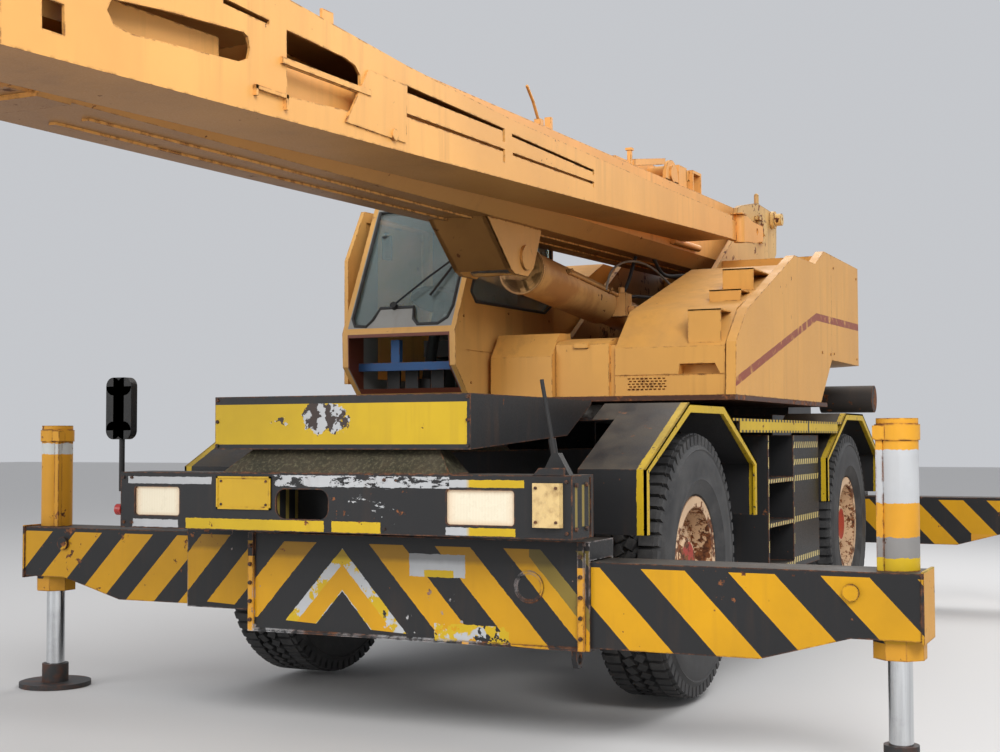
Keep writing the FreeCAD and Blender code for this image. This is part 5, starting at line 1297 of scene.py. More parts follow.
def front_bumper():
    """Deep bumper of bent plate with lamp recesses, a round-cornered hole and a top lip."""
    x0 = BUMPER_FRONT_X - BUMPER_DEPTH
    outer = box(x0, BUMPER_FRONT_X, -BUMPER_HALF_W, BUMPER_HALF_W, BUMPER_BOTTOM, BUMPER_TOP)
    inner = box(x0 - 5, BUMPER_FRONT_X - BUMPER_T, -BUMPER_HALF_W + BUMPER_T, BUMPER_HALF_W - BUMPER_T,
                BUMPER_BOTTOM + BUMPER_T, BUMPER_TOP - BUMPER_T)
    shell = outer.cut(inner)
    for opening, r in zip(bumper_openings(), (14, 14, 48)):
        shell = shell.cut(rounded_block(BUMPER_FRONT_X - 50, BUMPER_FRONT_X + 50, *opening, r))
    lip_y = BUMPER_HALF_W - 35
    lip = prism_x([(lip_y - 150, BUMPER_TOP - 2), (lip_y, BUMPER_TOP - 2), (lip_y, BUMPER_TOP + 32),
                   (lip_y - 120, BUMPER_TOP + 32)], BUMPER_FRONT_X - BUMPER_T, BUMPER_FRONT_X)
    stays = [box(FRAME_FRONT_X + 28, BUMPER_FRONT_X - BUMPER_T, y, y + 90, BUMPER_BOTTOM + BUMPER_T,
                 BUMPER_TOP - BUMPER_T) for y in (RAIL_IN_Y, -RAIL_IN_Y - 90)]
    return fuse([shell, lip] + stays)


def front_deck():
    """Front deck box under the boom, sloping hood below it and the platform over the bumper."""
    outline = [(DECKBOX_REAR_X, DECKBOX_TOP - 20), (DECKBOX_UNDER_X, DECKBOX_BOTTOM_REAR),
               (DECKBOX_FRONT_X, DECKBOX_BOTTOM), (DECKBOX_FRONT_X, DECKBOX_TOP),
               (DECKBOX_REAR_X, DECKBOX_TOP)]
    deck_box = prism_y(outline, -DECKBOX_HALF_W, DECKBOX_HALF_W)
    hood_x = FRAME_FRONT_X + 28
    hood = prism_y([(HOOD_BACK_X, RAIL_TOP), (hood_x, RAIL_TOP), (hood_x, BUMPER_TOP),
                    (BUMPER_FRONT_X - 20, BUMPER_TOP), (BUMPER_FRONT_X - 140, 1345), (HOOD_BACK_X, 1385)],
                   -610, 610)
    shoulders = [(-610, BUMPER_TOP), (610, BUMPER_TOP), (500, 1340), (500, 1400), (-500, 1400), (-500, 1340)]
    hood = hood.common(prism_x(shoulders, HOOD_BACK_X - 50, BUMPER_FRONT_X))
    platform = box(hood_x, BUMPER_FRONT_X - BUMPER_DEPTH, -BUMPER_HALF_W, BUMPER_HALF_W,
                   BUMPER_TOP - 12, BUMPER_TOP)
    web = box(FRAME_FRONT_X, hood_x, -BUMPER_HALF_W, BUMPER_HALF_W, BUMPER_BOTTOM, BUMPER_TOP)
    rests = [box(HOOD_BACK_X - 50, FRAME_FRONT_X, y, y + 20, RAIL_TOP, 1350)
             for y in (RAIL_IN_Y, -RAIL_IN_Y - 20)]
    return fuse([deck_box, hood, platform, web] + rests)


def carrier_lamps():
    """Head lamps in the recesses, folded marker cover, corner marker and tail lamps."""
    back = BUMPER_FRONT_X - BUMPER_T
    pieces = [box(back - 40, back, y0 - 8, y1 + 8, z0 - 8, z1 + 8)
              for y0, y1, z0, z1 in bumper_openings()[:2]]
    end = BUMPER_HALF_W
    low = BUMPER_BOTTOM
    front = BUMPER_FRONT_X
    cover = [(front, end - 182), (front + 22, end - 176), (front + 30, end - 100), (front + 24, end - 50),
             (front, end - 43)]
    pieces.append(prism_z(cover, low + 51, low + 241))
    pieces.append(cyl(front - 20, -end, low + 87, vec(0, -1, 0), 28, 35))
    for side in (1, -1):
        y0, y1 = sorted((side * 850, side * 1150))
        pieces.append(box(-front - 30, -front, y0, y1, 1040, 1140))
    return fuse(pieces)


def front_mirror():
    """Mirror at the right end of the bumper and marker rod at its left end."""
    y = -BUMPER_HALF_W - 60
    x = BUMPER_FRONT_X - 80
    post = cyl(x, y, BUMPER_TOP - 100, Z_AXIS, 14, 260)
    foot = box(x - 20, x + 20, y, -BUMPER_HALF_W, BUMPER_TOP - 100, BUMPER_TOP - 60)
    head = rounded_block(x - 26, x + 22, y - 85, y + 72, BUMPER_TOP + 160, BUMPER_TOP + 471, 45)
    rod_x, rod_y, lean = BUMPER_FRONT_X - 130, BUMPER_HALF_W - 121, vec(0, -0.18, 1)
    rod = cyl(rod_x, rod_y, BUMPER_TOP + 10, lean, 9, 415)
    sleeve = cyl(rod_x, rod_y, BUMPER_TOP + 10, lean, 17, 150)
    base = prism_x([(rod_y - 65, BUMPER_TOP), (rod_y + 65, BUMPER_TOP), (rod_y + 12, BUMPER_TOP + 95),
                    (rod_y - 16, BUMPER_TOP + 95)], rod_x - 25, rod_x + 25)
    return fuse([fuse([post, foot, head]), fuse([rod, sleeve, base])])


def cheek_outline():
    """Side plate of the turret that carries the boom's foot."""
    return [(0, TURRET_Z + BASE_T), (-20, 1900), (-1000, 2500), (PIVOT_X + 690, PIVOT_Z - 120),
            (PIVOT_X + 656, PIVOT_Z + 87), (PIVOT_X + 540, PIVOT_Z + 123), (PIVOT_X + 64, PIVOT_Z + 211),
            (PIVOT_X - 520, PIVOT_Z + 198), (PIVOT_X - 579, PIVOT_Z + 170), (PIVOT_X - 563, PIVOT_Z - 144),
            (PIVOT_X - 260, COUNTERWEIGHT_TOP + SEAT_GAP),
            (COUNTERWEIGHT_SIDE_X + SEAT_GAP, COUNTERWEIGHT_TOP + SEAT_GAP),
            (COUNTERWEIGHT_SIDE_X + SEAT_GAP, 1960), (-1430, 1960), (TURRET_REAR_X, TURRET_Z + BASE_T)]


def turret_frame():
    """Base plate with the cab's shelf, two cheeks, the foot lugs of the lift cylinder and both pins."""
    base = box(TURRET_REAR_X, TURRET_FRONT_X, -TURRET_HALF_W, TURRET_HALF_W, TURRET_Z, TURRET_Z + BASE_T)
    shelf = box(TURRET_FRONT_X - 50, CAB_SHELF_X, CAB_RIGHT_Y, CAB_LEFT_Y, TURRET_Z, TURRET_Z + BASE_T)
    cheeks = both_sides(prism_y(cheek_outline(), CHEEK_Y, CHEEK_Y + CHEEK_T))
    bosses = [cyl(PIVOT_X, side * (CHEEK_Y + CHEEK_T), PIVOT_Z, vec(0, side, 0), 120, 30) for side in (1, -1)]
    pin = cyl(PIVOT_X, -CHEEK_Y - CHEEK_T - 50, PIVOT_Z, Y_AXIS, PIVOT_R, 2 * (CHEEK_Y + CHEEK_T + 50))
    lug_outline = [(FOOT_X - 300, TURRET_Z + BASE_T), (FOOT_X + 300, TURRET_Z + BASE_T),
                   (FOOT_X + 110, FOOT_Z + 60), (FOOT_X + 60, FOOT_Z + 110), (FOOT_X - 60, FOOT_Z + 110),
                   (FOOT_X - 110, FOOT_Z + 60)]
    lugs = both_sides(prism_y(lug_outline, FOOT_LUG_Y, FOOT_LUG_Y + 40))
    foot_pin = cyl(FOOT_X, -FOOT_LUG_Y - 60, FOOT_Z, Y_AXIS, 55, 2 * (FOOT_LUG_Y + 60))
    floor = box(COUNTERWEIGHT_SIDE_X + SEAT_GAP, -1430, -CHEEK_Y, CHEEK_Y, 1960, 1990)
    tie = box(-60, 0, -CHEEK_Y, CHEEK_Y, TURRET_Z + BASE_T, 1850)
    stop_top = PIVOT_Z + 282
    stop = cyl(PIVOT_X + 13, CHEEK_Y + CHEEK_T / 2, PIVOT_Z + 150, Z_AXIS, CHEEK_T / 2,
               stop_top - PIVOT_Z - 150)
    stop_cap = ball(CHEEK_T / 2, vec(PIVOT_X + 13, CHEEK_Y + CHEEK_T / 2, stop_top))
    rear_pin_x, rear_pin_z = PIVOT_X - 400, PIVOT_Z + 130
    rear_pin = cyl(rear_pin_x, CHEEK_Y, rear_pin_z, Y_AXIS, 52, 135)
    rear_boss = cyl(rear_pin_x, CHEEK_Y, rear_pin_z, Y_AXIS, 75, 75)
    key_plate = box(PIVOT_X + 40, PIVOT_X + 150, CHEEK_Y + CHEEK_T, CHEEK_Y + CHEEK_T + 42, PIVOT_Z + 60,
                    PIVOT_Z + 90)
    return fuse([base, shelf, floor, tie, pin, foot_pin, stop, stop_cap, rear_pin, rear_boss, key_plate]
                + cheeks + bosses + lugs)


def cover_outline():
    """Outline of the left side cover in (x, z), with the notch in its upper edge."""
    low = TURRET_Z + BASE_T
    return [(1180, low), (1158, 1937), (928, 2138), (-291, 2600), (-905, 2608),
            (-1190, COUNTERWEIGHT_TOP), (COUNTERWEIGHT_FRONT_X + SEAT_GAP, COUNTERWEIGHT_TOP),
            (COUNTERWEIGHT_FRONT_X + SEAT_GAP, COUNTERWEIGHT_BOTTOM), (-1050, low)]


def slope_height(x):
    """Height of the step box's sloping top: steep at the front, gentle behind."""
    if x > SLOPE_BREAK_X:
        rise = (SLOPE_BREAK_Z - STEP_BOX_TOP) / (HOUSING_FRONT_X - SLOPE_BREAK_X)
        return SLOPE_BREAK_Z + (SLOPE_BREAK_X - x) * rise
    return SLOPE_BREAK_Z + (SLOPE_BREAK_X - x) * (SLOPE_TOP_Z - SLOPE_BREAK_Z) / (SLOPE_BREAK_X - SLOPE_TOP_X)


def step_plate(x, top):
    """One open-sided step of bent plate on the slope: riser and level tread."""
    low = slope_height(x) - 6
    back = x
    while slope_height(back) < top + 4:
        back -= 5
    riser = [(x, low), (x + STEP_T, low), (x + STEP_T, top), (x, top)]
    tread = [(x + STEP_T, top), (x + STEP_T, top - STEP_T), (back, top - STEP_T), (back, top)]
    return [prism_y(points, STEP_Y[0], STEP_Y[1]) for points in (riser, tread)]


def left_housing():
    """Housing left of the boom: flanged side cover, stepped slope and the vent box at its front."""
    low = TURRET_Z + BASE_T
    out_y = TURRET_HALF_W
    cover = prism_y(cover_outline(), out_y - COVER_FLANGE, out_y)
    hollow = prism_y(inset_outline(cover_outline(), COVER_T), out_y - COVER_FLANGE - 10, out_y - COVER_T)
    cover = cover.cut(hollow)
    block = prism_y([(HOUSING_FRONT_X, low), (HOUSING_FRONT_X, STEP_BOX_TOP), (SLOPE_BREAK_X, SLOPE_BREAK_Z),
                     (SLOPE_TOP_X, SLOPE_TOP_Z), (HOUSING_REAR_X, SLOPE_TOP_Z + 30), (HOUSING_REAR_X, 1720),
                     (-1100, low)], STEP_BOX_Y, out_y - COVER_FLANGE - 10)
    face = HOUSING_FRONT_X
    block = block.cut(box(face - 6, face + 10, STEP_BOX_Y - 10, out_y, VENT_SEAM_Z - 3, VENT_SEAM_Z + 3))
    foothold = prism_x([(895, VENT_SEAM_Z + 4), (1150, VENT_SEAM_Z + 4), (1118, VENT_SEAM_Z + 64),
                        (905, VENT_SEAM_Z + 64)], face - 90, face + 10)
    block = block.cut(foothold)
    for row in range(5):
        z = VENT_SEAM_Z - 88 + 16 * row
        for slot in range(9):
            y = 580 + 27 * slot + (9 if row % 2 else 0)
            block = block.cut(box(face - 18, face + 10, y, y + 18, z, z + 8))
    steps = []
    for x, top in ((HOUSING_FRONT_X - 30, 2135), (680, 2290), (385, 2450)):
        steps += step_plate(x, top)
    ties = [box(x, x + 60, out_y - COVER_FLANGE - 20, out_y - COVER_T + 2, z, z + 60)
            for x, z in ((900, 1700), (-200, 1700), (-900, 1800), (300, 2200), (-900, 2450))]
    return fuse([cover, block] + steps + ties)


def front_covers():
    """Low covers between the cab and the step box, in front of the lift cylinder."""
    low = TURRET_Z + BASE_T
    front = prism_y([(TURRET_FRONT_X, low), (TURRET_FRONT_X, 1877), (1080, 2025), (900, 2035), (880, low)],
                    -300, 112)
    middle = prism_y([(HOUSING_FRONT_X, low), (HOUSING_FRONT_X, 1948), (1110, 1970), (960, 1995),
                      (940, low)], 118, 462)
    catch = box(HOUSING_FRONT_X - 30, HOUSING_FRONT_X + 18, 240, 330, 1925, 1952)
    edge = box(HOUSING_FRONT_X - 60, HOUSING_FRONT_X - 20, 455, STEP_BOX_Y - SEAT_GAP, low, 1940)
    return fuse([front, fuse([middle, catch, edge])])


def cab_outline():
    """Side outline of the cab in (x, z): undercut nose, leaning windscreen, flat roof."""
    return [(CAB_REAR_X, CAB_FLOOR_Z), (1430, CAB_FLOOR_Z), (1605, 1820), (SCREEN_LOW[0], SCREEN_LOW[1]),
            (SCREEN_HIGH[0], SCREEN_HIGH[1]), (1100, 2960), (CAB_REAR_X, 2960)]


def screen_outline(grow):
    """Windscreen opening in (y, z): two low lobes with a raised sill between them."""
    right, left = CAB_RIGHT_Y + 52 - grow, CAB_LEFT_Y - 52 + grow
    return [(right, 2830 + grow), (right, 2120), (right + 30, 2075 - grow), (-960, 2070 - grow),
            (-925 + grow, 2110), (-890, 2185 - grow), (-660, 2185 - grow), (-640 - grow, 2110),
            (-605, 2075 - grow), (-465, 2075 - grow), (left - 20, 2110), (left, 2180), (left, 2830 + grow)]


def side_window_outline(grow):
    """Left side window in (x, z) with cut corners."""
    return [(1330, 2222 - grow), (1395 + grow, 2280), (1125 + grow, 2840 + grow), (150 - grow, 2840 + grow),
            (135 - grow, 2290), (250, 2235 - grow)]


def inset_outline(points, t):
    """Convex outline moved inward by t, by meeting each pair of shifted edges."""
    count = len(points)
    area = sum(points[i][0] * points[(i + 1) % count][1] - points[(i + 1) % count][0] * points[i][1]
               for i in range(count))
    turn = 1 if area > 0 else -1
    lines = []
    for i in range(count):
        (x0, z0), (x1, z1) = points[i], points[(i + 1) % count]
        length = math.hypot(x1 - x0, z1 - z0)
        nx, nz = -turn * (z1 - z0) / length, turn * (x1 - x0) / length
        lines.append((x0 + nx * t, z0 + nz * t, x1 - x0, z1 - z0))
    moved = []
    for i in range(count):
        ax, az, adx, adz = lines[i - 1]
        bx, bz, bdx, bdz = lines[i]
        k = ((bx - ax) * bdz - (bz - az) * bdx) / (adx * bdz - adz * bdx)
        moved.append((ax + k * adx, az + k * adz))
    return moved


def cab_shell():
    """Hollow cab with its window and door openings and the open lower front."""
    outer = prism_y(cab_outline(), CAB_RIGHT_Y, CAB_LEFT_Y)
    inner = prism_y(inset_outline(cab_outline(), CAB_T), CAB_RIGHT_Y + CAB_T, CAB_LEFT_Y - CAB_T)
    shell = outer.cut(inner)
    screen = prism_x(screen_outline(0), 1150, 1750)
    lower = box(1300, 1750, CAB_RIGHT_Y + 45, CAB_LEFT_Y - 45, CAB_FLOOR_Z + CAB_T + 4, 2000)
    left_window = prism_y(side_window_outline(0), CAB_LEFT_Y - 60, CAB_LEFT_Y + 10)
    doorway = box(DOOR_HINGE_X + 30, DOOR_FRONT_X - 90, CAB_RIGHT_Y - 10, CAB_RIGHT_Y + 60, DOOR_BOTTOM + 30,
                  DOOR_TOP - 60)
    rear_window = box(CAB_REAR_X - 10, CAB_REAR_X + 60, CAB_RIGHT_Y + 100, CAB_LEFT_Y - 100, 2250, 2800)
    for opening in (screen, lower, left_window, doorway, rear_window):
        shell = shell.cut(opening)
    seam = 1915
    shell = shell.cut(box(650, 1460, CAB_LEFT_Y - 5, CAB_LEFT_Y + 5, seam - 3, seam + 3))
    latch = box(540, 645, CAB_LEFT_Y - 2, CAB_LEFT_Y + 14, 1700, 1900)
    feet = [box(x, x + 120, y, y + 80, TURRET_Z + BASE_T, CAB_FLOOR_Z + 2) for x in (200, 1150)
            for y in (CAB_RIGHT_Y + 60, CAB_LEFT_Y - 140)]
    hinge_y = CAB_RIGHT_Y - 6 - DOOR_T / 2
    hinges = []
    for z in HINGE_Z:
        hinges.append(cyl(DOOR_HINGE_X, hinge_y, z - 30, Z_AXIS, HINGE_PIN_R, 140))
        hinges += [box(DOOR_HINGE_X - 40, DOOR_HINGE_X + HINGE_PIN_R, hinge_y - HINGE_PIN_R, CAB_RIGHT_Y,
                       low, low + 20) for low in (z - 30, z + 90)]
    return fuse([shell, latch] + feet + hinges)


def cab_glass():
    """Windscreen, left side pane and rear pane, seated in the middle of the walls."""
    (x_low, z_low), (x_high, z_high) = SCREEN_LOW, SCREEN_HIGH
    slab = prism_y([(x_low - 26, z_low), (x_low - 18, z_low), (x_high - 18, z_high), (x_high - 26, z_high)],
                   CAB_RIGHT_Y, CAB_LEFT_Y)
    screen = slab.common(prism_x(screen_outline(-SEAT_GAP), 1100, 1750))
    side = prism_y(side_window_outline(-SEAT_GAP), CAB_LEFT_Y - 24, CAB_LEFT_Y - 16)
    rear = box(CAB_REAR_X + 16, CAB_REAR_X + 24, CAB_RIGHT_Y + 100 + SEAT_GAP, CAB_LEFT_Y - 100 - SEAT_GAP,
               2250 + SEAT_GAP, 2800 - SEAT_GAP)
    return fuse([screen, side, rear])


def cab_interior():
    """Seat, console with levers, pedals and the crossbars in the open lower front."""
    floor = CAB_FLOOR_Z + CAB_T
    seat = fuse([box(420, 620, -830, -610, floor, 1920), box(300, 800, -980, -470, 1920, 2030),
                 box(260, 380, -960, -490, 2030, 2620), box(270, 370, -870, -580, 2620, 2780)])
    console = fuse([box(500, 1000, -470, -385, floor, 2120), cyl(900, -430, 2120, Z_AXIS, 12, 180),
                    cyl(700, -430, 2120, Z_AXIS, 12, 180)])
    lean = vec(-0.33, 0, 0.944)
    wheel_at = vec(1250, -730, floor) + lean * 600
    column = fuse([box(1190, 1300, -790, -670, floor, floor + 70), cyl(1240, -730, floor + 30, lean, 35, 580),
                   cyl(wheel_at.x, wheel_at.y, wheel_at.z, lean, 190, 30)])
    pedals = [box(1330, 1350, y, y + 90, floor, floor + 160) for y in (-950, -820, -640)]
    across = box(1440, 1480, CAB_RIGHT_Y + CAB_T, CAB_LEFT_Y - CAB_T, 1800, 1850)
    upright = box(1440, 1480, -850, -790, 1850, 1990)
    return fuse([seat, console, column, fuse([across, upright])] + pedals)


def local_point(x, z):
    """Boom coordinates (u, w) of a world point."""
    a = math.radians(BOOM_DROP_DEG)
    dx, dz = x - PIVOT_X, z - PIVOT_Z
    return dx * math.cos(a) - dz * math.sin(a), dx * math.sin(a) + dz * math.cos(a)


def boom_profile(half, low, high, grow=0.0):
    """Cross section of a boom section in (y, w), its lower corners bent in. Grow moves every face out."""
    half, low, high = half + grow, low - grow, high + grow
    return [(-half, high), (half, high), (half, low + BOOM_BEND_W), (half - BOOM_BEND_Y, low),
            (BOOM_BEND_Y - half, low), (-half, low + BOOM_BEND_W)]


def boom_fittings():
    """Pieces on the base section's top: rope roller housing, open box, posts and a bent rod."""
    top = BOOM_HIGH
    side = BOOM_TOP_Y
    # Roller housing: rounded cheek, rear case, sloping front rail with its back plate
    cheek_u, cheek_r, cheek_w = 1647, 150, 203
    arch = cyl(cheek_u, side - 25, cheek_w, Y_AXIS, cheek_r, 25)
    arch = arch.cut(box(cheek_u - 200, cheek_u + 200, side - 30, side + 10, cheek_w - 200, cheek_w - 10))
    pieces = [arch, cyl(cheek_u, side - 2, cheek_w + 50, Y_AXIS, 62, 16),
              box(cheek_u - cheek_r, cheek_u + cheek_r, side - 25, side, top - 5, cheek_w),
              box(1290, 1487, 10, side, top - 5, 344), box(1480, 1830, 10, 30, top - 5, 340),
              cyl(cheek_u, 28, cheek_w + 50, Y_AXIS, 62, side - 50)]
    pieces.append(prism_y([(1800, 345), (2470, 240), (2470, 195), (1800, 300)], side - 40, side))
    pieces.append(prism_y([(1800, 335), (2470, 230), (2470, top - 5), (1800, top - 5)], 40, 52))
    pieces.append(box(2462, 2480, 40, side, top - 5, 238))
    # Post with a cap, then the bracket in front of it
    pieces += [box(2518, 2546, side - 28, side, top - 5, 300), box(2508, 2556, side - 38, side + 8, 290, 306),
               box(2590, 2850, side - 70, side, top - 5, 208)]
    # Open box behind the housing
    frame = box(1010, 1232, 60, side + 30, 160, 338).cut(box(1032, 1210, 50, side + 40, 182, 316))
    pieces += [frame, box(1180, 1255, 90, side, top - 5, 262), box(1225, 1300, 90, side, 250, 330)]
    # Second post, rod foot and the bent rod
    pieces += [box(3975, 4005, side - 20, side + 20, top - 5, 258),
               box(4000, 4120, side - 20, side + 20, top - 5, 190),
               box(4110, 4160, side - 20, side + 20, top - 5, 222)]
    bend = vec(4219, side, 314)
    pieces += [rod_between(vec(4134, side, 205), bend, 9), rod_between(bend, vec(4302, side, 385), 9)]
    return pieces


def rod_between(start, end, radius):
    """Round bar between two points, with a ball at its far end."""
    along = end - start
    return fuse([bar(radius, along.length, start, along), ball(radius, end)])


def cylinder_bracket():
    """Two lugs under the base section with their slanting front plate and the caps of the eye pin."""
    under = BOOM_LOW + 2
    # World outline of the lugs, from the front along the tip to the rear
    tip = [local_point(x, z)
           for x, z in ((1950, 2335), (1880, 2312), (1700, 2312), (1612, 2375), (1560, 2480))]
    front_u = local_point(2270, 2600)[0]
    rear_u = local_point(1500, 2600)[0]
    outline = [(front_u, under)] + tip + [(rear_u, under)]
    lugs = both_sides(prism_y(outline, LUG_Y, LUG_Y + LUG_T))
    plate = prism_y([(front_u, under), (tip[0][0], tip[0][1]), (tip[0][0] - 22, tip[0][1] - 6),
                     (front_u - 24, under)], -LUG_Y - LUG_T, LUG_Y + LUG_T)
    eye = local_point(EYE_X, EYE_Z)
    caps = [cyl(eye[0], side * (LUG_Y + LUG_T), eye[1], vec(0, side, 0), 72, 16) for side in (1, -1)]
    return lugs + [plate] + caps


def boom_base():
    """Base section: box with bent lower corners, foot boss, nose collar, cylinder and jib brackets."""
    face = (BOOM_HALF_W, BOOM_LOW, BOOM_HIGH)
    body = prism_x(boom_profile(*face), BOOM_FOOT, BOOM_END)
    body = body.cut(prism_x(boom_profile(*face, -BOOM_WALL), HOLLOW_START, BOOM_END + 10))
    wide = BOOM_HALF_W + 10
    rear_cut = prism_y([(BOOM_FOOT - 10, BOOM_HIGH + 10), (60, BOOM_HIGH + 10), (BOOM_FOOT - 10, 40)],
                       -wide, wide)
    under_cut = prism_y([(BOOM_FOOT - 10, BOOM_LOW - 10), (HOLLOW_START - 30, BOOM_LOW - 10),
                         (BOOM_FOOT - 10, -120)], -wide, wide)
    body = body.cut(rear_cut).cut(under_cut)
    collar = prism_x(boom_profile(*face, COLLAR_LIP), BOOM_END - 160, BOOM_END)
    collar = collar.cut(prism_x(boom_profile(*COLLAR_ROOM, SEAT_GAP), BOOM_END - 170, BOOM_END + 10))
    foot = cyl(0, -CHEEK_Y + 1, 0, Y_AXIS, 115, 2 * CHEEK_Y - 2)
    brackets = [box(u - 40, u + 40, BOOM_HALF_W - 2, JIB_IN_Y - SEAT_GAP, low, low + 150)
                for u, low in ((1840, -260), (4600, -300), (7700, -320))]
    duct = cyl(1350, BOOM_HALF_W + 20, BOOM_LOW + 140, X_AXIS, 26, 620)
    ledges = both_sides(box(900, BOOM_END - 400, 60, 90, BOOM_LOW - 10, BOOM_LOW + 2))
    body = fuse([body, collar, foot, duct] + cylinder_bracket() + brackets + ledges + boom_fittings())
    body = body.cut(cyl(0, -CHEEK_Y - 10, 0, Y_AXIS, PIVOT_R + PIN_GAP, 2 * CHEEK_Y + 20))
    return at_pivot(body, BOOM_DROP_DEG)


# Lower and upper edge of the stowed jib in (u, w)
JIB_LOWER = ((1785.0, -274.0), (2575.0, -293.0), (4445.0, -347.0), (6725.0, -405.0), (8945.0, -462.0))
JIB_UPPER = ((8945.0, 62.0), (8000.0, 42.0), (7520.0, 13.0), (6660.0, -41.0), (5600.0, -82.0),
             (3590.0, -103.0), (1785.0, -107.0))


def jib_tube(lower, upper, y0, y1, wall):
    """Closed box between two faces and two edges, hollow inside."""
    outer = prism_y(list(lower) + list(upper), y0, y1)
    rear, front = lower[0][0] + wall, lower[-1][0] - wall
    inner = [(min(max(u, rear), front), w + wall) for u, w in lower]
    inner += [(min(max(u, rear), front), w - wall) for u, w in upper]
    return outer.cut(prism_y(inner, y0 + wall, y1 - wall))


def jib_windows():
    """Cut-outs of the jib's outer face in (u, w)."""
    long_slot = [(8513, -264), (8480, -300), (8405, -310), (7843, -276), (7790, -255), (7778, -216),
                 (7790, -180), (7813, -169), (8251, -200), (8490, -225)]
    upper = [(7550, -100), (7148, -114), (7070, -128), (7036, -158), (7036, -205), (7550, -205)]
    lower = [(7550, -231), (7038, -231), (7038, -280), (7073, -305), (7128, -315), (7550, -338)]
    sliver = [(7930, -80), (7659, -92), (7659, -108), (7930, -100)]
    square = [(8695, -382), (8786, -382), (8786, -293), (8695, -293)]
    hooked = [[(6663, -124), (6663, -154), (5712, -155), (5712, -205), (5690, -205), (5690, -140),
               (5712, -140)],
              [(6664, -240), (6664, -256), (5712, -252), (5712, -300), (5690, -300), (5690, -238)],
              [(5607, -150), (5607, -165), (4545, -184), (4545, -200), (4525, -200), (4525, -170)],
              [(5600, -240), (5600, -254), (4545, -250), (4545, -266), (4527, -266), (4527, -236)]]
    return [long_slot, upper, lower, sliver, square] + hooked


def fly_jib():
    """Two-stage fly jib stowed along the boom's left side: a tapered box with cut-outs and a hinge tail."""
    shell = jib_tube(JIB_LOWER, JIB_UPPER, JIB_IN_Y, JIB_OUT_Y, JIB_T)
    for window in jib_windows():
        shell = shell.cut(prism_y(window, JIB_OUT_Y - JIB_T - 5, JIB_OUT_Y + 5))
    stage_lower = [(2200, -262), (4445, -322), (6725, -380), (7700, -405)]
    stage_upper = [(7700, -178), (5600, -196), (2200, -196)]
    stage = jib_tube(stage_lower, stage_upper, 420, 642, JIB_T)
    tip_stage = jib_tube([(7860, -300), (8900, -325)], [(8900, -205), (7860, -190)], 470, 620, JIB_T)
    rests = [box(u - 30, u + 30, 440, 620, low, low + 45)
             for u, low in ((2600, -290), (4400, -340), (6400, -392))]
    rests.append(box(8820, 8900, 480, 610, -450, -300))
    rests.append(box(7500, 7560, 440, 620, -420, -380))
    face = JIB_OUT_Y
    plates = [prism_y([(6982, -128), (6663, -128), (6678, -367), (7154, -363)], face - 2, face + 7),
              box(6967, 7593, face - 2, face + 12, -229, -207), cyl(6778, face - 2, -350, Y_AXIS, 24, 16),
              box(7150, 7230, face - 60, face - 48, -20, 62),
              box(7560, 7762, face - 2, face + 14, -352, -338),
              box(7560, 7574, face - 2, face + 14, -392, -338),
              box(7748, 7762, face - 2, face + 14, -375, -338)]
    barrel = cyl(1472, 655, -268, Z_AXIS, 42, 206)
    neck = box(1465, 1800, 600, 640, -256, -112)
    tail = prism_y([(1480, -262), (1480, -64), (1330, -64), (1180, -86), (900, -90), (893, -205),
                    (1130, -240)], 655, 683)
    tail = tail.cut(cyl(1067, 640, -147, Y_AXIS, 26, 60))
    cap = box(1425, 1560, 608, 702, -66, -58)
    return at_pivot(fuse([shell, stage, tip_stage, barrel, neck, tail, cap] + rests + plates), BOOM_DROP_DEG)


def cylinder_axis():
    """Direction from the foot pin to the rod's eye, and their distance."""
    dx, dz = EYE_X - FOOT_X, EYE_Z - FOOT_Z
    length = math.hypot(dx, dz)
    return vec(dx / length, 0, dz / length), length


def on_cylinder(s):
    """Point on the lift cylinder's axis, measured from its foot pin."""
    return vec(FOOT_X, 0, FOOT_Z) + cylinder_axis()[0] * s


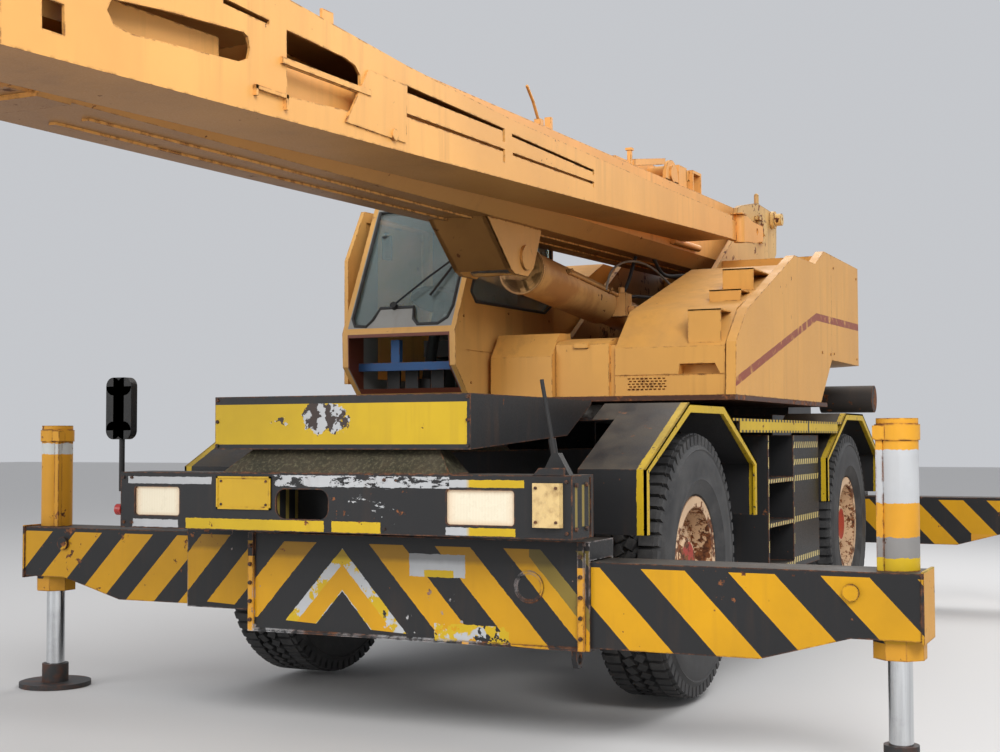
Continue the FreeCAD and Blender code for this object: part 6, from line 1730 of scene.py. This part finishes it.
def lift_barrel():
    """Barrel with its foot eye, the fat outer sleeve of its front half and the gland ring at its mouth."""
    axis, length = cylinder_axis()
    end = length - BARREL_SHORT_OF_EYE
    tube = bar(BARREL_R, end - BARREL_START, on_cylinder(BARREL_START), axis)
    sleeve = bar(SLEEVE_R, SLEEVE_LENGTH, on_cylinder(end - SLEEVE_LENGTH), axis)
    neck = bar(90, BARREL_START, on_cylinder(40), axis)
    eye = cyl(FOOT_X, -FOOT_LUG_Y + 5, FOOT_Z, Y_AXIS, 110, 2 * FOOT_LUG_Y - 10)
    sleeve_start = end - SLEEVE_LENGTH
    ring = bar(SLEEVE_R + 12, 25, on_cylinder(end - 25), axis)
    # Oil pipe along the sleeve and the holding valve behind it, left of the barrel
    up = vec(-axis.z, 0, axis.x)
    side = vec(0, 128, 0) + up * 62
    oil_pipe = bar(12, 900, on_cylinder(sleeve_start - 40) + side, axis)
    clips = [bar(17, 30, on_cylinder(sleeve_start + s) + side, axis) for s in (120, 830)]
    links = [bar(10, 60, on_cylinder(sleeve_start + s) + side * 0.8, side) for s in (135, 845)]
    valve_at = on_cylinder(sleeve_start - 150)
    valve = box(valve_at.x, valve_at.x + 120, 70, 190, valve_at.z - 75, valve_at.z + 85)
    spool = cyl(valve_at.x + 60, 60, valve_at.z - 30, Y_AXIS, 26, 180)
    port = cyl(valve_at.x + 40, 130, valve_at.z + 60, Z_AXIS, 22, 70)
    body = fuse([tube, sleeve, ring, neck, eye, oil_pipe, valve, spool, port] + clips + links)
    bore_start = BARREL_START + 80
    body = body.cut(bar(BARREL_BORE_R, end - GLAND_LENGTH - bore_start, on_cylinder(bore_start), axis))
    body = body.cut(bar(ROD_R + PIN_GAP, GLAND_LENGTH + 20, on_cylinder(end - GLAND_LENGTH - 10), axis))
    return body.cut(cyl(FOOT_X, -300, FOOT_Z, Y_AXIS, 55 + PIN_GAP, 600))


# Telescopic sections and boom head
def sliding_section(start, end, half, low, high):
    """Hollow section with a nose collar, on its own slide line."""
    face = (half, low, high)
    body = prism_x(boom_profile(*face), start, end)
    body = body.cut(prism_x(boom_profile(*face, -10), start - 10, end + 10))
    nose = prism_x(boom_profile(*face, 8), end - 140, end)
    return at_pivot(fuse([body, nose.cut(prism_x(boom_profile(*face, -10), end - 150, end + 10))]),
                    SLIDE_DROP_DEG)


def head_section(start, end, half, low, high):
    """Innermost section with the side plates, end plate and pins of the boom head."""
    u, w = HEAD_PIN
    body = prism_x(boom_profile(half, low, high), start, end)
    outline = [(end - 200, high), (end - 200, low), (end - 60, low - 60), (u - 130, w - 60),
               (u - 60, w - 120), (u + 60, w - 120), (u + 130, w - 50), (u + 130, -220), (u + 40, 250),
               (u - 40, 320), (u - 160, 320)]
    plates = both_sides(prism_y(outline, half, half + 25))
    pins = [cyl(u, -half - 45, w, Y_AXIS, 40, 2 * half + 90),
            cyl(u - 60, -half - 45, 200, Y_AXIS, 40, 2 * half + 90)]
    return at_pivot(fuse([body] + plates + pins), SLIDE_DROP_DEG)


# Tyres
def tyre_carcass(x, side):
    """Bead, bulging side walls with a scuff rib, and the tread's ground."""
    half = [(318, 138), (364, 140), (371, 157), (405, 172), (440, 181), (448, 187), (458, 183), (520, 190),
            (565, 188), (598, 181), (606, 186), (615, 177), (640, 164), (655, 148), (661, 120)]
    profile = half + [(664, 0)] + [(r, -y) for r, y in reversed(half)]
    middle = side * WHEEL_MIDDLE
    return revolve_y([(r, middle + y) for r, y in profile], x, AXLE_Z)


def tread_rows(x, side):
    """Shoulder blocks, lugs that wrap over the shoulder, and two rows of slanting middle blocks."""
    middle = side * WHEEL_MIDDLE
    rows = []
    for i in range(TREAD_BLOCKS):
        for edge in (-1, 1):
            turn = 2 * math.pi * (i + (0.5 if edge > 0 else 0.0)) / TREAD_BLOCKS
            out = vec(math.cos(turn), 0, math.sin(turn))
            along = vec(-math.sin(turn), 0, math.cos(turn))
            centre = vec(x, middle, AXLE_Z)
            rows.append((centre + out * 655 + Y_AXIS * edge * 112, out, along, (54, 82, 34.5)))
            rows.append((centre + out * 646 + Y_AXIS * edge * 146, Y_AXIS * edge, along, (46, 72, 26)))
            half_turn = 2 * math.pi * (i + (0.25 if edge > 0 else 0.75)) / TREAD_BLOCKS
            out = vec(math.cos(half_turn), 0, math.sin(half_turn))
            slant = vec(-math.sin(half_turn), edge * 0.55, math.cos(half_turn)).normalized()
            rows.append((centre + out * 656 + Y_AXIS * edge * 33, out, slant, (56, 50, 33.5)))
    return rows


# Windows, wiper, mirrors
def on_screen(y, z, lift=0.0):
    """Point on the windscreen's outer face, lifted off it."""
    lean = (SCREEN_LOW[0] - SCREEN_HIGH[0]) / (SCREEN_HIGH[1] - SCREEN_LOW[1])
    face = vec(1, 0, lean).normalized()
    return vec(SCREEN_LOW[0] - (z - SCREEN_LOW[1]) * lean, y, z) + face * lift


def screen_seal():
    """Rubber round the windscreen."""
    line = [on_screen(y, z, -2) for y, z in screen_outline(2)]
    return pipe(line + line[:2], 11, 8)


def side_seal():
    """Rubber round the left side window."""
    line = [vec(x, CAB_LEFT_Y, z) for x, z in side_window_outline(2)]
    return pipe(line + line[:2], 10, 8)


def wiper():
    """Bent arm, its hub and the blade on the windscreen."""
    arm = pipe([on_screen(-790, 2188, 22), on_screen(-590, 2353, 30), on_screen(-420, 2497, 16)], 7, 8)
    blade = pipe([on_screen(-560, 2250, 8), on_screen(-396, 2517, 8)], 8, 6)
    return fuse([arm, bar(22, 34, on_screen(-790, 2188, -4), vec(1, 0, 0.45)), blade])


def door_mirror():
    """Small round mirror on a bent stay."""
    head = pipe([vec(1262, -1002, 2672), vec(1254, -1000, 2600), vec(1256, -1002, 2520)], 34, 12)
    return fuse([head, pipe([vec(1180, -1040, 2700), vec(1262, -1010, 2690), vec(1262, -1002, 2640)], 8, 8)])


# Hoses between the lift cylinder's valve and the turret
HOSES = (("thick_hose", 0.026,
          ((15, 112, 2330), (-60, 135, 2400), (-135, 150, 2530), (-211, 160, 2675), (-341, 170, 2725),
           (-455, 190, 2680), (-592, 210, 2557), (-691, 240, 2545), (-785, 300, 2560), (-830, 345, 2560))),
         ("pale_hose", 0.016,
          ((337, 140, 2360), (330, 155, 2460), (228, 170, 2536), (-13, 190, 2595), (-301, 220, 2590),
           (-522, 260, 2514), (-666, 300, 2430), (-695, 345, 2367))),
         ("valve_hose", 0.024,
          ((-30, 112, 2330), (-190, 140, 2366), (-340, 150, 2372), (-513, 190, 2380), (-687, 270, 2365),
           (-760, 345, 2352))),
         ("return_hose", 0.020,
          ((-30, 125, 2285), (-241, 150, 2278), (-483, 200, 2292), (-702, 280, 2330), (-790, 345, 2335))))


def hose_line(points):
    """Points along the smooth NURBS line of a hose's route."""
    data = bpy.data.curves.new("hose_line", "CURVE")
    data.dimensions = "3D"
    spline = data.splines.new("NURBS")
    spline.points.add(len(points) - 1)
    for spot, place in zip(spline.points, points):
        spot.co = (*place, 1.0)
    spline.order_u = 3
    spline.use_endpoint_u = True
    spline.resolution_u = 6
    holder = shown("hose_line", data)
    line = [vertex.co.copy() for vertex in evaluated_mesh(holder).vertices]
    bpy.data.objects.remove(holder)
    return line


def packed(point):
    """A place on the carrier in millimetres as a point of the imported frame."""
    return (point[0] / 1000 - SHIFT, point[1] / 1000, point[2] / 1000)


def hose(name, diameter, points, material):
    """Hose along its route, from the cylinder's barrel at its front end to the turret at its rear end."""
    line = hose_line(points)
    thing = shown(name, finished_mesh(name, pipe(line, diameter * 500, 10), material))
    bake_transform(thing)
    length = sum((b - a).length for a, b in zip(line, line[1:])) / 1000
    packed(line[0])
    [packed(point) for point in line]


# Bumper plate, nuts and bolts
def number_plate():
    """Blank plate held by its raised border."""
    front = BUMPER_FRONT_X
    y0, y1, z0, z1 = -627, -319, 1049, 1205
    border = [box(front, front + 8, y0, y1, z0, z0 + 9), box(front, front + 8, y0, y1, z1 - 9, z1),
              box(front, front + 8, y0, y0 + 9, z0, z1), box(front, front + 8, y1 - 9, y1, z0, z1)]
    return fuse([box(front, front + 4, y0, y1, z0, z1)] + border)


def front_bolts():
    """Screws of the plate and the marker cover, bolts of the outrigger box, deck box and bumper ends."""
    forward, up = X_AXIS, Z_AXIS
    front = BUMPER_FRONT_X
    rows = [(vec(front + 4, y, z), forward, up, (14, 14, 5)) for y in (-600, -346) for z in (1072, 1182)]
    rows += [(vec(front + 22, y, z), forward, up, (16, 16, 10)) for y in (1045, 1140) for z in (1022, 1168)]
    rows += [(vec(FRAME_FRONT_X + 28, y, z), forward, up, (22, 22, 12)) for y in (-585, 1153)
             for z in (500, 590, 680, 770, 860)]
    rows += [(vec(DECKBOX_FRONT_X, y, z), forward, up, (20, 20, 8))
             for y in (-676, 676) for z in (1350, 1465, 1570)]
    rows += [(vec(front, y, z), forward, up, (18, 18, 8))
             for y in (-1185, -1135, 290, 1180) for z in (975, 1195)]
    rows += [(vec(x, side * BUMPER_HALF_W, z), vec(0, side, 0), up, (22, 22, 10)) for side in (-1, 1)
             for x in (3420, 3540) for z in (990, 1180)]
    return rows


def cover_bolts():
    """Screws along the seams of the side cover, the counterweight and the cab's nose."""
    rows = []
    left, up = Y_AXIS, Z_AXIS
    for side in (1, -1):
        rows += [(vec(x, side * 1250, z), vec(0, side, 0), up, (20, 20, 7)) for x, z in
                 ((-2350, 2000), (-1500, 2000), (-2350, 2640), (-1500, 2640), (-1380, 1990), (-1100, 1990))]
    rows += [(vec(x, CAB_LEFT_Y, z), left, up, (18, 18, 6))
             for x, z in ((1400, 1720), (1500, 2120), (180, 1700), (180, 2180), (850, 1700), (850, 2180))]
    rows += [(vec(-2850, y, z), vec(-1, 0, 0), up, (46, 46, 22))
             for y in (-660, -220, 220, 660) for z in (2060, 2600)]
    return rows


def rim_nuts(x, side):
    """Ring of wheel nuts on the disc and the smaller bolts of the hub cap."""
    rows = []
    # How many, turn of the first, radius of the ring, place across the wheel, size
    for count, first, radius, y, size in ((20, 0.0, 252, 44, (30, 30, 24)), (12, 0.5, 180, 69, (20, 20, 12))):
        for i in range(count):
            turn = 2 * math.pi * (i + first) / count
            along = vec(math.cos(turn), 0, math.sin(turn))
            centre = vec(x, side * (WHEEL_MIDDLE + y), AXLE_Z)
            rows.append((centre + along * radius, vec(0, side, 0), along, size))
    return rows


# Name, form, finish, body, slot and the node that the piece stands for
PIECES = (("boom_body", boom_base, "boom", "boom", "upper_orange", "boom_base"),
          ("stowed_jib", fly_jib, "jib", "boom", "upper_orange", "fly_jib"),
          ("second_section", lambda: sliding_section(*SECOND_SECTION), "sections", "section_2",
           "upper_orange", "boom_section_2"),
          ("third_section", lambda: sliding_section(*THIRD_SECTION), "sections", "section_3",
           "upper_orange", "boom_section_3"),
          ("head_section", lambda: head_section(*HEAD_SECTION), "sections", "section_4", "upper_orange",
           "boom_section_4"),
          ("side_cover", left_housing, "cover", "turret", "upper_orange", "left_housing"),
          ("cab_covers", front_covers, "cover", "turret", "upper_orange", "front_covers"),
          ("turret_plates", turret_frame, "turret", "turret", "upper_orange", "turret_frame"),
          ("cylinder_barrel", lift_barrel, "lift", "barrel", "upper_orange", "lift_barrel"),
          ("cab_body", cab_shell, "cab", "turret", "upper_orange", "cab_shell"),
          ("cab_panes", cab_glass, "glass", "turret", "window_glass", "cab_glass"),
          ("cab_fittings", cab_interior, "inside", "turret", "black_plastic", "cab_interior"),
          ("fender_plates", fenders, "fender", "carrier", "carrier_black", "fenders"),
          ("chevron_box", front_outrigger_box, "chevron", "carrier", "hazard_black", "front_outrigger_box"),
          ("bumper", front_bumper, "bumper", "carrier", "carrier_black", "front_bumper"),
          ("deck_front", front_deck, "deck_box", "carrier", "carrier_black", "front_deck"),
          ("lamps", carrier_lamps, "lamp", "carrier", "lamp_glass", "carrier_lamps"),
          ("mirror_and_rod", front_mirror, "plastic", "carrier", "black_plastic", "front_mirror"))
# Pieces without a node of their own
SMALL_PIECES = (
    ("screen_seal", screen_seal, "seal", "turret", "black_plastic"),
    ("side_seal", side_seal, "seal", "turret", "black_plastic"),
    ("wiper", wiper, "plastic", "turret", "black_plastic"),
    ("door_mirror", door_mirror, "plastic", "turret", "black_plastic"))


def dress_crane():
    """All the visible pieces, on their bodies."""
    for name, form, finish, body, slot, node in PIECES:
        piece(name, form(), FINISH[finish], body, slot, node)
    for name, sx, sy in CORNERS:
        piece("arm_" + name, outrigger_beam(name, sx, sy), FINISH["beam_" + name], "beam_" + name,
              "hazard_black", "beam_" + name)
        x = sx * WHEELBASE / 2
        piece("carcass_" + name, tyre_carcass(x, sy), FINISH["tyre"], "wheel_" + name, "tyre_rubber",
              "tyre_" + name)
        studs("tread_" + name, tread_rows(x, sy), FINISH["tyre"], "wheel_" + name,
              sides=4, foot=0.7071, top=0.64, height=1.0, turn=math.pi / 4)
        studs("nuts_" + name, rim_nuts(x, sy), FINISH["rim_" + name], "wheel_" + name,
              foot=0.5, top=0.45)
    for name, form, finish, body, slot in SMALL_PIECES:
        piece(name, form(), FINISH[finish], body, slot)
    for name, diameter, points in HOSES:
        hose(name, diameter, points, FINISH["pale_hose" if name == "pale_hose" else "seal"])
    piece("blank_plate", number_plate(), FINISH["plate"], "carrier", "carrier_black")
    studs("front_bolts", front_bolts(), FINISH["black"], "carrier", foot=0.5, top=0.42,
          turn=0.3)
    studs("cover_bolts", cover_bolts(), FINISH["bolts"], "turret", foot=0.5, top=0.42,
          turn=0.2)


studio_floor()
studio_light()
photo_camera()
dress_nodes()
dress_crane()
bpy.context.scene.view_settings.view_transform = "Standard"
